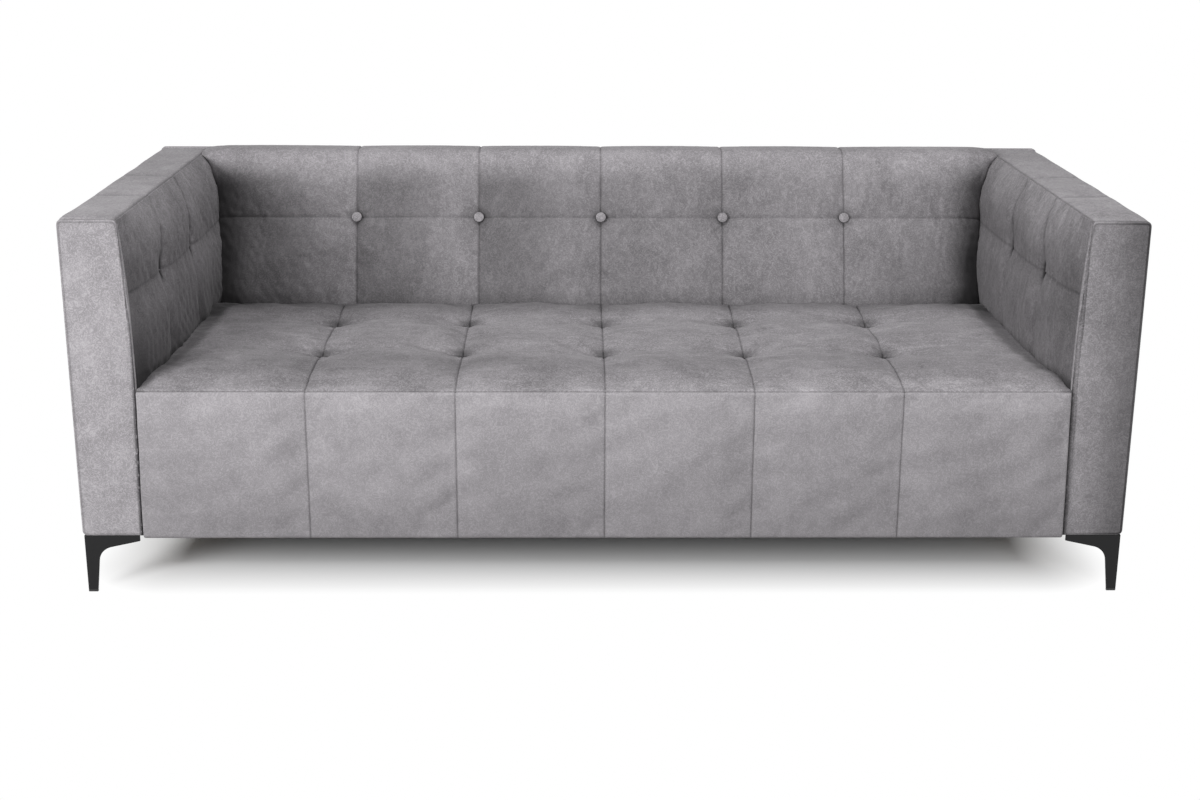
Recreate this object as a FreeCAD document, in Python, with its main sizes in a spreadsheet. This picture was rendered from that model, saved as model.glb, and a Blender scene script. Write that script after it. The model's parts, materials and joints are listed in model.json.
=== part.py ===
import FreeCAD
import Part
import math
import os
import re
import Sketcher
from FreeCAD import Placement, Rotation, Vector

# Three-seat box-arm sofa: tufted seat, buttoned back, metal corner legs, wooden frame inside.
# Frame: +X to the sitter's left (right in a front view), +Y to the back, +Z up.
# The origin is on the floor, under the middle of the sofa. Sizes are in millimetres.

DIMENSIONS = {
    # The whole sofa
    "overall_width": 2100,
    "overall_depth": 924,
    "leg_height": 122,
    "front_overhang": 14,
    # Arms
    "arm_width": 115,
    "arm_top": 766,
    "arm_panel_depth": 12,
    "arm_panel_corner": 10,
    "arm_panel_edge": 4,
    "arm_cover_side": 6,
    "arm_cover_top": 12,
    "arm_cover_corner": 10,
    "arm_board": 3,
    "arm_post": 24,
    "arm_rail": 28,
    "joining_rail_width": 30,
    "joining_rail_height": 60,
    "arm_pad_foot": 15,
    "arm_pad_waist": 395,
    "arm_pad_seam": 620,
    "arm_pad_rear": 372,
    "arm_pad_front_draw": 13,
    "arm_pad_rear_draw": 41,
    "arm_pad_crown": 19,
    "arm_pad_valley": 14,
    "arm_pad_low_ease": 4,
    "arm_tuft_front": -226,
    "arm_tuft_rear": 16,
    "arm_tuft_front_draw": 33,
    "arm_tuft_rear_draw": 39,
    "arm_tuft_depth": 9,
    "arm_tuft_radius": 34,
    # Seat
    "seat_half_width": 918,
    "seat_side_round": 30,
    "seat_rear": 205,
    "seat_level": 431,
    "seat_rear_level": 444,
    "seat_crown": 11,
    "seat_valley": 6,
    "seat_row_lift": 3,
    "seat_front_crown": 6,
    "seat_front_valley": 1,
    "seat_edge_drop": 1,
    "seat_edge_rise": 2.5,
    "seat_jacket_rise": 4,
    "seat_seam_pitch": 295,
    "seat_tuft_front": -203,
    "seat_tuft_rear": 37,
    "seat_tuft_depth": 15,
    "seat_tuft_radius": 45,
    "seat_cover_wall": 28,
    "seat_front_wall": 22,
    "seat_rear_wall": 15,
    "seat_front_edge": 9,
    "frame_gap": 2,
    "seat_rail": 25,
    "seat_rail_height": 174,
    "seat_beam_width": 60,
    "seat_beam_height": 78,
    "felt_depth": 5,
    "foam_base": 309,
    "foam_top": 408,
    "dust_cover_depth": 1.5,
    # Springs
    "spring_level": 300,
    "spring_wire": 1.9,
    "spring_turn": 22,
    "spring_run": 15,
    "spring_tail": 22,
    "clip_width": 20,
    "clip_depth": 18,
    "clip_height": 8,
    # Back
    "back_low": 300,
    "back_front_low": 212,
    "back_sit_level": 440,
    "back_seam_level": 633,
    "back_seam_front": 281,
    "back_brow_level": 764,
    "back_brow_front": 343,
    "back_crest_level": 787,
    "back_crest_front": 382,
    "back_roll_level": 758,
    "back_crown": 13,
    "back_valley": 5,
    "back_low_ease": 1,
    "back_seam_puff": 3,
    "back_brow_puff": 2,
    "back_brow_rise": 4,
    "back_crest_notch": 4,
    "back_crest_rise": 6,
    "back_jacket_rise": 1,
    "back_seam_pitch": 284,
    "back_side_round": 22,
    "back_frame_front": 376,
    "back_frame_depth": 68,
    "back_rail": 28,
    "back_top_rail_top": 750,
    "back_bottom_rail_foot": 132,
    "back_post": 24,
    "back_post_inner": 300,
    "back_panel_depth": 16,
    "back_panel_edge": 5,
    "webbing_width": 60,
    "webbing_depth": 2,
    "webbing_first": 194,
    "webbing_pitch": 100,
    "back_foam_half_width": 858,
    "back_foam_inset": 24,
    "back_foam_top_inset": 29,
    "back_foam_ends": 10,
    "button_radius": 11.5,
    "button_half_depth": 5,
    "button_tilt": 22.3,
    "button_ease": 1,
    "button_dimple_ratio": 3,
    "button_dimple_lift": 6,
    "button_cord": 108,
    # Legs and feet
    "leg_inset": 3,
    "leg_blade": 4,
    "leg_reach": 111,
    "leg_tip_height": 12,
    "leg_bend_across": 29,
    "leg_bend_height": 92,
    "leg_bend_round": 34,
    "leg_foot": 19,
    "leg_plate": 80,
    "leg_plate_deep": 100,
    "plate_screw_near": 42,
    "plate_screw_far": 88,
    "plate_screw_side": 24,
    "plate_screw_edge": 12,
    "centre_screw_across": 23,
    "centre_screw_along": 30,
    "glide_height": 5,
    "glide_upstand": 12,
    "glide_edge": 2,
    "centre_leg_front": -60,
    "centre_leg_radius": 20,
    "centre_leg_bore": 5.05,
    "centre_leg_bore_top": 80,
    "centre_foot_radius": 22,
    "centre_foot_disc": 10,
    "centre_foot_stem": 5,
    "centre_foot_stem_top": 62,
    "foot_gap": 0.3,
    # Fasteners and cords
    "screw_radius": 2.1,
    "screw_head_radius": 4.5,
    "screw_head": 2.5,
    "screw_length": 24,
    "pilot_gap": 0.1,
    "screw_gap": 0.5,
    "bolt_radius": 4,
    "bolt_hole": 4.5,
    "thread_gap": 0.05,
    "bolt_head_radius": 8,
    "bolt_head": 5,
    "seat_bolt_level": 230,
    "seat_bolt_front": -330,
    "seat_bolt_rear": 80,
    "tee_nut": 8,
    "tee_nut_radius": 10,
    "back_bolt_low": 300,
    "back_bolt_high": 640,
    "back_bolt_grip": 47,
    "cord_radius": 1.5,
    "cord_gap": 0.1,
    "washer_radius": 12,
    "washer_depth": 3,
    "soft_gap": 1,
}

# Places worked out from the driving dimensions
OUTSIDE = "(overall_width / 2)"
ARM_INSIDE = "(overall_width / 2 - arm_width)"
BOARD_INSIDE = "(overall_width / 2 - arm_width + arm_board)"
COVER_INSIDE = "(overall_width / 2 - arm_cover_side)"
BOARD_OUTSIDE = "(overall_width / 2 - arm_cover_side - arm_board)"
SEAT_FRONT = "(-overall_depth / 2)"
ARM_FRONT = "(front_overhang - overall_depth / 2)"
POST_FRONT = "(front_overhang - overall_depth / 2 + arm_panel_depth)"
BACK_INSIDE = "(overall_depth / 2 - back_panel_depth)"
FRAME_REAR = "(back_frame_front + back_frame_depth)"
FRAME_TOP = "(arm_top - arm_cover_top)"
CAVITY_SIDE = "(seat_half_width - seat_cover_wall)"
RAIL_FRONT = "(seat_front_wall + frame_gap - overall_depth / 2)"
RAIL_REAR = "(seat_rear - seat_rear_wall - frame_gap)"
RAIL_SIDE = "(seat_half_width - seat_cover_wall - frame_gap)"
SEAT_FOOT = "(leg_height - frame_gap)"
RAIL_TOP = "(leg_height + seat_rail_height)"
PLATE_FOOT = "(leg_height - leg_blade)"
BACK_BOLT_START = "(overall_width / 2 - arm_width - back_post)"
BACK_BOLT_LENGTH = "(back_post + back_bolt_grip + frame_gap)"
THREAD_HOLE = "(bolt_radius + thread_gap)"

BACK_SEAMS = 5
SEAT_SEAMS = 5
SPRING_PLACES = (98, 197, 393, 492, 690, 790)
SPRING_TURNS = 12
WEBBING_COUNT = 5

# Share of the full swelling left at the ends of each quilted piece
ARM_END_PUFF = -1.9
SEAT_END_PUFF = 0.4
BACK_END_PUFF = 0.5

# Tools that trim and press the soft forms
TRIM_REACH = 30
TUFT_CLEAR = 60
TUFT_BULGE = 0.12

ALONG_X = Rotation(Vector(0, 1, 0), 90)
ALONG_Y = Rotation(Vector(1, 0, 0), -90)
ALONG_Z = Rotation()

doc = FreeCAD.newDocument("sofa")
sheet = doc.addObject("Spreadsheet::Sheet", "dims")
sub_parts = {}


def fill_sheet():
    """Put each driving dimension in a cell under its own alias."""
    for row, (alias, size) in enumerate(DIMENSIONS.items(), start=1):
        sheet.set(f"A{row}", alias)
        sheet.set(f"B{row}", str(size))
        sheet.setAlias(f"B{row}", alias)
    doc.recompute()


def cell(expression):
    """Point each word of an expression at its cell in the sheet."""
    return re.sub(r"[a-z_]+", lambda word: "dims." + word.group(0), str(expression))


def size(expression):
    """Value of an expression of the sheet's cells, as a number."""
    return float(sheet.evalExpression(cell(expression)))


def name_part(solid, label):
    """Keep a document object as one sub-part under its own label."""
    solid.Label = label
    sub_parts[label] = solid
    return solid


def box(name, x_span, y_span, z_span):
    """Block between two places on each axis."""
    block = doc.addObject("Part::Box", name)
    for side, axis, (low, high) in zip(("Length", "Width", "Height"), "xyz", (x_span, y_span, z_span)):
        block.setExpression(side, cell(f"({high}) - ({low})"))
        block.setExpression(f"Placement.Base.{axis}", cell(low))
    return block


def rod(name, radius, length, start, turn=ALONG_Z):
    """Round rod from a starting point along the turned Z axis."""
    cylinder = doc.addObject("Part::Cylinder", name)
    cylinder.Placement = Placement(Vector(), turn)
    cylinder.setExpression("Radius", cell(radius))
    cylinder.setExpression("Height", cell(length))
    for axis, place in zip("xyz", start):
        cylinder.setExpression(f"Placement.Base.{axis}", cell(place))
    return cylinder


def group(name, members):
    """Several separate solids held as one document object."""
    compound = doc.addObject("Part::Compound", name)
    compound.Links = members
    return compound


def cut(name, blank, cutters):
    """Blank with a list of cutters taken out of it."""
    carved = doc.addObject("Part::Cut", name)
    carved.Base = blank
    carved.Tool = cutters[0] if len(cutters) == 1 else group(name + "_cutters", cutters)
    return carved


def fuse(name, first, second):
    """Two touching solids joined into one."""
    joined = doc.addObject("Part::Fuse", name)
    joined.Base = first
    joined.Tool = second
    return joined


def mirrored(label, source, across=Vector(1, 0, 0), about="0"):
    """Mirror image of a sub-part across a plane square to an axis."""
    image = doc.addObject("Part::Mirroring", label)
    image.Source = source
    image.Normal = across
    image.setExpression("Base.y", cell(about))
    return name_part(image, label)


def polygon_sketch(body, plane_role, corners, offset):
    """Closed sketch of straight lines, each corner bound to the sheet, on a shifted origin plane."""
    plane = next(item for item in body.Origin.OriginFeatures if item.Role == plane_role)
    sketch = body.newObject("Sketcher::SketchObject", body.Name + "_sketch")
    sketch.AttachmentSupport = [(plane, "")]
    sketch.MapMode = "FlatFace"
    sketch.setExpression("AttachmentOffset.Base.z", cell(offset))
    places = [Vector(size(across), size(up), 0) for across, up in corners]
    for start, end in zip(places, places[1:] + places[:1]):
        sketch.addGeometry(Part.LineSegment(start, end), False)
    for index, (across, up) in enumerate(corners):
        sketch.addConstraint(Sketcher.Constraint("Coincident", index, 2, (index + 1) % len(corners), 1))
        corner = places[index]
        for kind, place, value in (("DistanceX", across, corner.x), ("DistanceY", up, corner.y)):
            number = sketch.addConstraint(Sketcher.Constraint(kind, -1, 1, index, 1, value))
            sketch.setExpression(f"Constraints[{number}]", cell(place))
    return sketch


def add_pad(body, plane_role, corners, offset, length):
    """Prism on a polygon sketch, added to a body."""
    pad = body.newObject("PartDesign::Pad", body.Name + "_pad")
    pad.Profile = polygon_sketch(body, plane_role, corners, offset)
    pad.setExpression("Length", cell(length))
    doc.recompute()
    return pad


def round_edges(body, radius, chosen):
    """Round the edges of a body that pass the test given."""
    base = body.Tip
    names = [f"Edge{number}" for number, edge in enumerate(base.Shape.Edges, start=1) if chosen(edge)]
    fillet = body.newObject("PartDesign::Fillet", body.Name + "_round")
    fillet.Base = (base, names)
    fillet.setExpression("Radius", cell(radius))
    doc.recompute()
    return fillet


def runs_along(edge, axis):
    """Whether a straight edge lies along an axis."""
    step = edge.lastVertex().Point - edge.firstVertex().Point
    return step.Length > 1e-6 and abs(step.normalize().dot(axis)) > 0.999


def rectangle(x_span, y_span):
    """Corners of a rectangle between two places on each axis."""
    return [(x_span[0], y_span[0]), (x_span[1], y_span[0]), (x_span[1], y_span[1]), (x_span[0], y_span[1])]


def pilots(name, places):
    """Drills up into the wood for screws that hold a leg plate."""
    radius, depth = "screw_radius + pilot_gap", "screw_length + pilot_gap"
    return [
        rod(f"{name}_pilot_{number}", radius, depth, (x, y, "leg_height"))
        for number, (x, y) in enumerate(places)
    ]


def arm_frame():
    """Posts, rails and boards of the right arm, with the holes for its bolts and leg screws."""
    across = (BOARD_INSIDE, BOARD_OUTSIDE)
    rear = FRAME_REAR
    upright = ("leg_height", FRAME_TOP)
    between = (POST_FRONT + " + arm_post", rear + " - arm_post")
    front_post = box("front_post", across, (POST_FRONT, between[0]), upright)
    name_part(front_post, "arm_right_front_post")
    rear_post = box("rear_post", across, (between[1], rear), upright)
    threads = back_bolt_holes("rear_post", THREAD_HOLE)
    name_part(cut("rear_post_drilled", rear_post, threads), "arm_right_rear_post")
    top_rail = box("top_rail", across, between, (FRAME_TOP + " - arm_post", FRAME_TOP))
    name_part(top_rail, "arm_right_top_rail")
    bottom_rail = box("bottom_rail", across, between, ("leg_height", "leg_height + arm_rail"))
    holes = pilots("bottom_rail", leg_screw_places())
    name_part(cut("bottom_rail_drilled", bottom_rail, holes), "arm_right_bottom_rail")
    joining = (BOARD_INSIDE, BOARD_INSIDE + " + joining_rail_width")
    height = ("seat_bolt_level - joining_rail_height / 2", "seat_bolt_level + joining_rail_height / 2")
    joining_rail = box("joining_rail", joining, between, height)
    holes = seat_bolt_holes("joining_rail")
    name_part(cut("joining_rail_drilled", joining_rail, holes), "arm_right_joining_rail")
    inner_board = box("inner_board", (ARM_INSIDE, BOARD_INSIDE), (POST_FRONT, rear), upright)
    holes = seat_bolt_holes("inner_board") + back_bolt_holes("inner_board", "bolt_hole")
    holes += arm_cord_holes("inner_board")
    name_part(cut("inner_board_drilled", inner_board, holes), "arm_right_inner_board")
    outer_board = box("outer_board", (BOARD_OUTSIDE, COVER_INSIDE), (POST_FRONT, rear), upright)
    name_part(outer_board, "arm_right_outer_board")


def arm_covers():
    """Padded front panel and the outer cover, whose top strip closes the arm."""
    panel = doc.addObject("PartDesign::Body", "front_panel")
    corners = rectangle((ARM_INSIDE, OUTSIDE), ("leg_height", "arm_top"))
    add_pad(panel, "XZ_Plane", corners, "-(" + POST_FRONT + ")", "arm_panel_depth")
    round_edges(panel, "arm_panel_corner", lambda edge: runs_along(edge, Vector(0, 1, 0)))
    front = size(ARM_FRONT)
    round_edges(panel, "arm_panel_edge", lambda edge: abs(edge.BoundBox.YMax - front) < 0.01)
    name_part(panel, "arm_right_front_panel")
    cover = doc.addObject("PartDesign::Body", "outer_cover")
    corners = [
        (COVER_INSIDE, "leg_height"),
        (OUTSIDE, "leg_height"),
        (OUTSIDE, "arm_top"),
        (ARM_INSIDE, "arm_top"),
        (ARM_INSIDE, FRAME_TOP),
        (COVER_INSIDE, FRAME_TOP),
    ]
    add_pad(cover, "XZ_Plane", corners, "-(" + BACK_INSIDE + ")", BACK_INSIDE + " - (" + POST_FRONT + ")")
    outside, top = size(OUTSIDE), size("arm_top")
    round_edges(
        cover,
        "arm_cover_corner",
        lambda edge: edge.BoundBox.XMin > outside - 0.01 and edge.BoundBox.ZMin > top - 0.01,
    )
    name_part(cover, "arm_right_outer_cover")


def outline(corners, place):
    """Closed wire of lines and arcs; a corner is (across, up, rise of its next edge to the left)."""
    edges = []
    for (across, up, rise), (next_across, next_up, _) in zip(corners, corners[1:] + corners[:1]):
        start = place(across, up)
        end = place(next_across, next_up)
        if rise == 0:
            edges.append(Part.LineSegment(start, end).toShape())
            continue
        run, climb = next_across - across, next_up - up
        reach = rise / math.hypot(run, climb)
        middle = place((across + next_across) / 2 - climb * reach, (up + next_up) / 2 + run * reach)
        edges.append(Part.Arc(start, middle, end).toShape())
    return Part.Wire(edges)


def quilted(seams, section, end_puff):
    """Row of lofts from seam to seam: each swells from one sewn section over a full one to the next."""
    panels = []
    last = len(seams) - 2
    for number, (start, end) in enumerate(zip(seams, seams[1:])):
        first_puff = end_puff if number == 0 else 0
        last_puff = end_puff if number == last else 0
        middle = (start + end) / 2
        wires = [section(start, first_puff), section(middle, 1), section(end, last_puff)]
        panels.append(Part.makeLoft(wires, True, False))
    return panels[0].multiFuse(panels[1:]).removeSplitter()


def rounded_front(half_width, low, high, corner, y_low, y_high):
    """Prism along Y on an upright rectangle with its two upper corners round."""
    bulge = corner * (1 - math.sqrt(0.5))
    corners = [
        (half_width, low, 0),
        (-half_width, low, 0),
        (-half_width, high - corner, bulge),
        (corner - half_width, high, 0),
        (half_width - corner, high, bulge),
        (half_width, high - corner, 0),
    ]
    front = outline(corners, lambda across, up: Vector(across, y_low, up))
    return Part.Face(front).extrude(Vector(0, y_high - y_low, 0))


def funnel(radius, depth, lift, flat=0):
    """Solid of revolution about Z that presses a tuft: a flat round floor, then a swollen flare."""
    bulge = TUFT_BULGE * math.hypot(radius - flat, depth + lift)
    floor = Vector(flat, 0, -depth)
    rim = Vector(radius, 0, lift)
    run, climb = radius - flat, depth + lift
    reach = bulge / math.hypot(run, climb)
    middle = Vector((flat + radius) / 2 - climb * reach, 0, (lift - depth) / 2 + run * reach)
    top = Vector(0, 0, TUFT_CLEAR)
    points = [rim, Vector(radius, 0, TUFT_CLEAR), top, Vector(0, 0, -depth)]
    edges = [Part.Arc(floor, middle, rim).toShape()]
    edges += [Part.LineSegment(start, end).toShape() for start, end in zip(points, points[1:])]
    if flat > 0:
        edges.append(Part.LineSegment(points[-1], floor).toShape())
    return Part.Face(Part.Wire(edges)).revolve(Vector(), Vector(0, 0, 1), 360)


def pressed(form, tool, places):
    """Form with the same tuft pressed in at each placement."""
    tufts = []
    for place in places:
        tuft = tool.copy()
        tuft.Placement = place
        tufts.append(tuft)
    return form.cut(tufts)


def soft_form(name, shape):
    """Document object that holds a shape worked out from the sheet."""
    form = doc.addObject("Part::Feature", name)
    form.Shape = shape
    return form


def between(place, places, values):
    """Value at a place, on straight lines between the values at the given places."""
    for start, end, first, last in zip(places, places[1:], values, values[1:]):
        if place <= end:
            return first + (last - first) * (place - start) / (end - start)
    return values[-1]


def arm_pad_shape(ease):
    """Inner pad of the right arm: a roll thinned to the front, a cross seam, three columns, two tufts."""
    back = size(ARM_INSIDE)
    low, waist, seam, top = size("leg_height"), size("arm_pad_waist"), size("arm_pad_seam"), size("arm_top")
    foot, low_ease = size("arm_pad_foot"), size("arm_pad_low_ease")
    valley, crown = size("arm_pad_valley"), size("arm_pad_crown")
    front, rear = size(ARM_FRONT + " + soft_gap"), size("arm_pad_rear")
    seams = [front, size("arm_tuft_front"), size("arm_tuft_rear"), rear]
    draw_names = ("arm_pad_front_draw", "arm_tuft_front_draw", "arm_tuft_rear_draw", "arm_pad_rear_draw")
    draws = [size(name) for name in draw_names]

    def section(y, puff):
        rise = valley + puff * (crown - valley)
        corners = [
            (back, low, 0),
            (back - foot - ease, low, 0),
            (back - foot - ease, waist, rise - low_ease),
            (back - between(y, seams, draws) - ease, seam, rise),
            (back - ease, top, 0),
        ]
        if ease:
            corners.append((back, top, 0))
        return outline(corners, lambda across, up: Vector(across, y, up))

    pad = quilted(seams, section, ARM_END_PUFF)
    if ease:
        return pad
    tuft = funnel(size("arm_tuft_radius"), size("arm_tuft_depth"), size("arm_tuft_depth"))
    turn = Rotation(Vector(0, 1, 0), -90)
    places = [Placement(Vector(back - draw, y, seam), turn) for y, draw in zip(seams[1:3], draws[1:3])]
    return pressed(pad, tuft, places)


def arm_pad():
    """Inner pad with its bolt holes and cord holes."""
    form = soft_form("inner_pad_form", arm_pad_shape(0))
    holes = seat_bolt_holes("inner_pad") + arm_cord_holes("inner_pad")
    name_part(cut("inner_pad", form, holes), "arm_right_inner_pad")


def arm_cord_places():
    """Where the two cords that pull the arm's tufts start on the pad's face."""
    return [
        (f"{ARM_INSIDE} - {tuft}_draw", tuft, "arm_pad_seam")
        for tuft in ("arm_tuft_front", "arm_tuft_rear")
    ]


def arm_cord_holes(name):
    """Drills along X for the arm's tuft cords."""
    return [
        rod(f"{name}_cord_hole_{number}", "cord_radius + cord_gap", "arm_width / 2", place, ALONG_X)
        for number, place in enumerate(arm_cord_places())
    ]


def arm_tuft_cords():
    """Cords that pull the arms' tufts, each tied to a washer behind the inner board."""
    cords = []
    for number, (face, y, z) in enumerate(arm_cord_places()):
        start = face + " + arm_tuft_depth"
        length = BOARD_INSIDE + " - (" + start + ")"
        cord = rod(f"arm_cord_{number}", "cord_radius", length, (start, y, z), ALONG_X)
        washer = rod(f"arm_washer_{number}", "washer_radius", "washer_depth", (BOARD_INSIDE, y, z), ALONG_X)
        tie = fuse(f"arm_tie_{number}", cord, washer)
        image = doc.addObject("Part::Mirroring", f"arm_tie_left_{number}")
        image.Source = tie
        image.Normal = Vector(1, 0, 0)
        cords += [tie, image]
    name_part(group("arm_tuft_cords", cords), "arm_tuft_cords")


def mirror_arm():
    """Left arm: every piece of the right one, mirrored."""
    for label, piece in list(sub_parts.items()):
        if label.startswith("arm_right_"):
            mirrored(label.replace("right", "left"), piece)


def seat_bolt_places():
    """Front-to-back place and height of the bolts that join the seat to an arm."""
    return [("seat_bolt_front", "seat_bolt_level"), ("seat_bolt_rear", "seat_bolt_level")]


def seat_bolt_holes(name):
    """Drills along X through all that the seat bolts of the right arm pass."""
    length = BOARD_INSIDE + " + joining_rail_width - (" + RAIL_SIDE + " - seat_rail)"
    return [
        rod(f"{name}_bolt_hole_{number}", "bolt_hole", length, (RAIL_SIDE + " - seat_rail", y, z), ALONG_X)
        for number, (y, z) in enumerate(seat_bolt_places())
    ]


def back_bolt_places():
    """Front-to-back place and height of the bolts that join the back to an arm."""
    y = FRAME_REAR + " - arm_post / 2"
    return [(y, "back_bolt_low"), (y, "back_bolt_high")]


def back_bolt_holes(name, radius):
    """Drills along X through the back's outer post, the inner board and into the arm's rear post."""
    return [
        rod(f"{name}_back_hole_{number}", radius, BACK_BOLT_LENGTH, (BACK_BOLT_START, y, z), ALONG_X)
        for number, (y, z) in enumerate(back_bolt_places())
    ]


def bolt(name, start, grip):
    """Round-headed bolt along +X whose head ends at its starting point."""
    x, y, z = start
    head = rod(name + "_head", "bolt_head_radius", "bolt_head", (x + " - bolt_head", y, z), ALONG_X)
    shank = rod(name + "_shank", "bolt_radius", grip, start, ALONG_X)
    return fuse(name, head, shank)


def both_sides(name, solid):
    """A solid and its mirror image across the sofa's middle."""
    image = doc.addObject("Part::Mirroring", name + "_image")
    image.Source = solid
    image.Normal = Vector(1, 0, 0)
    return [solid, image]


def bolts_and_nuts():
    """Bolts of the seat and back, and the tee nuts behind the joining rails."""
    seat_bolts, nuts, back_bolts = [], [], []
    nut_face = BOARD_INSIDE + " + joining_rail_width"
    grip = nut_face + " + tee_nut - (" + RAIL_SIDE + " - seat_rail)"
    for number, (y, z) in enumerate(seat_bolt_places()):
        fastener = bolt(f"seat_bolt_{number}", (RAIL_SIDE + " - seat_rail", y, z), grip)
        seat_bolts += both_sides(f"seat_bolt_{number}", fastener)
        flange = rod(f"nut_flange_{number}", "tee_nut_radius", "tee_nut", (nut_face, y, z), ALONG_X)
        thread = rod(f"nut_thread_{number}", THREAD_HOLE, "tee_nut", (nut_face, y, z), ALONG_X)
        nuts += both_sides(f"nut_{number}", cut(f"nut_{number}", flange, [thread]))
    for number, (y, z) in enumerate(back_bolt_places()):
        fastener = bolt(f"back_bolt_{number}", (BACK_BOLT_START, y, z), "back_post + back_bolt_grip")
        back_bolts += both_sides(f"back_bolt_{number}", fastener)
    name_part(group("seat_bolt_group", seat_bolts), "seat_bolts")
    name_part(group("tee_nut_group", nuts), "tee_nuts")
    name_part(group("back_bolt_group", back_bolts), "back_bolts")


def seat_frame():
    """Front, rear and side rails of the seat, and the beam that carries the middle leg."""
    upright = ("leg_height", RAIL_TOP)
    inner = (RAIL_FRONT + " + seat_rail", RAIL_REAR + " - seat_rail")
    wide = ("-(" + RAIL_SIDE + ")", RAIL_SIDE)
    name_part(box("seat_front_rail", wide, (RAIL_FRONT, inner[0]), upright), "seat_front_rail")
    name_part(box("seat_rear_rail", wide, (inner[1], RAIL_REAR), upright), "seat_rear_rail")
    side_rail = box("side_rail", (RAIL_SIDE + " - seat_rail", RAIL_SIDE), inner, upright)
    drilled = cut("side_rail_drilled", side_rail, seat_bolt_holes("side_rail"))
    mirrored("seat_side_rail_left", name_part(drilled, "seat_side_rail_right"))
    beam = box(
        "cross_beam",
        ("-seat_beam_width / 2", "seat_beam_width / 2"),
        inner,
        ("leg_height", "leg_height + seat_beam_height"),
    )
    name_part(cut("cross_beam_drilled", beam, pilots("beam", centre_screw_places())), "seat_cross_beam")


def spring_path(x):
    """Flat zigzag of straight runs and half turns between the front and rear clips, as quarter arcs."""
    turn, run, level = size("spring_turn"), size("spring_run"), size("spring_level")
    y = size(RAIL_FRONT) + 2
    start_y = y + size("spring_tail")
    edges = []
    corner = math.sqrt(0.5) * turn

    def line(start, end):
        edges.append(Part.LineSegment(Vector(*start, level), Vector(*end, level)).toShape())

    def arc(start, middle, end):
        points = [Vector(*point, level) for point in (start, middle, end)]
        edges.append(Part.Arc(*points).toShape())

    line((x, y), (x, start_y))
    y = start_y + turn
    arc((x, start_y), (x + turn - corner, start_y + corner), (x + turn, y))
    heading = 1
    line((x + turn, y), (x + turn + run, y))
    for number in range(SPRING_TURNS):
        centre_x = x + heading * (turn + run)
        centre_y = y + turn
        far = (centre_x + heading * turn, centre_y)
        slant = centre_x + heading * corner
        tail = (centre_x, centre_y + turn)
        arc((centre_x, y), (slant, centre_y - corner), far)
        arc(far, (slant, centre_y + corner), tail)
        y = tail[1]
        heading = -heading
        reach = turn if number == SPRING_TURNS - 1 else -(turn + run)
        line(tail, (x - heading * reach, y))
    arc((x - heading * turn, y), (x - heading * (turn - corner), y + turn - corner), (x, y + turn))
    line((x, y + turn), (x, size(RAIL_REAR) - 2))
    return Part.Wire(edges)


def springs():
    """Sinuous seat springs, each one bent wire, and the clips that hold their ends on the rails."""
    wires, clips = [], []
    for x in sorted(side * place for place in SPRING_PLACES for side in (-1, 1)):
        path = spring_path(x)
        start = path.Edges[0].firstVertex().Point
        ring = Part.Wire(Part.makeCircle(size("spring_wire"), start, Vector(0, 1, 0)))
        wires.append(path.makePipeShell([ring], True, False))
        for end, y in (("front", RAIL_FRONT), ("rear", RAIL_REAR + " - clip_depth")):
            name = f"clip_{end}_{x}".replace("-", "left_")
            across = (f"{x} - clip_width / 2", f"{x} + clip_width / 2")
            height = (RAIL_TOP, RAIL_TOP + " + clip_height")
            block = box(name + "_block", across, (y, y + " + clip_depth"), height)
            start = (str(x), y, "spring_level")
            bore = rod(name + "_bore", "spring_wire + cord_gap", "clip_depth", start, ALONG_Y)
            clips.append(cut(name, block, [bore]))
    name_part(soft_form("spring_group", Part.makeCompound(wires)), "seat_springs")
    name_part(group("clip_group", clips), "spring_clips")


def seat_seams():
    """Places across the seat of its five seams."""
    middle = (SEAT_SEAMS - 1) // 2
    return [f"({number - middle}) * seat_seam_pitch" for number in range(SEAT_SEAMS)]


def seat_tuft_places():
    """Across and front-to-back places of the seat's ten tufts."""
    return [(x, y) for y in ("seat_tuft_front", "seat_tuft_rear") for x in seat_seams()]


def seat_cord_holes(name):
    """Drills up through the felt, the foam and the cover for the tuft cords."""
    radius, length = "cord_radius + cord_gap", "seat_level - spring_level"
    return [
        rod(f"{name}_cord_hole_{number}", radius, length, (x, y, "spring_level"))
        for number, (x, y) in enumerate(seat_tuft_places())
    ]


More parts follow.
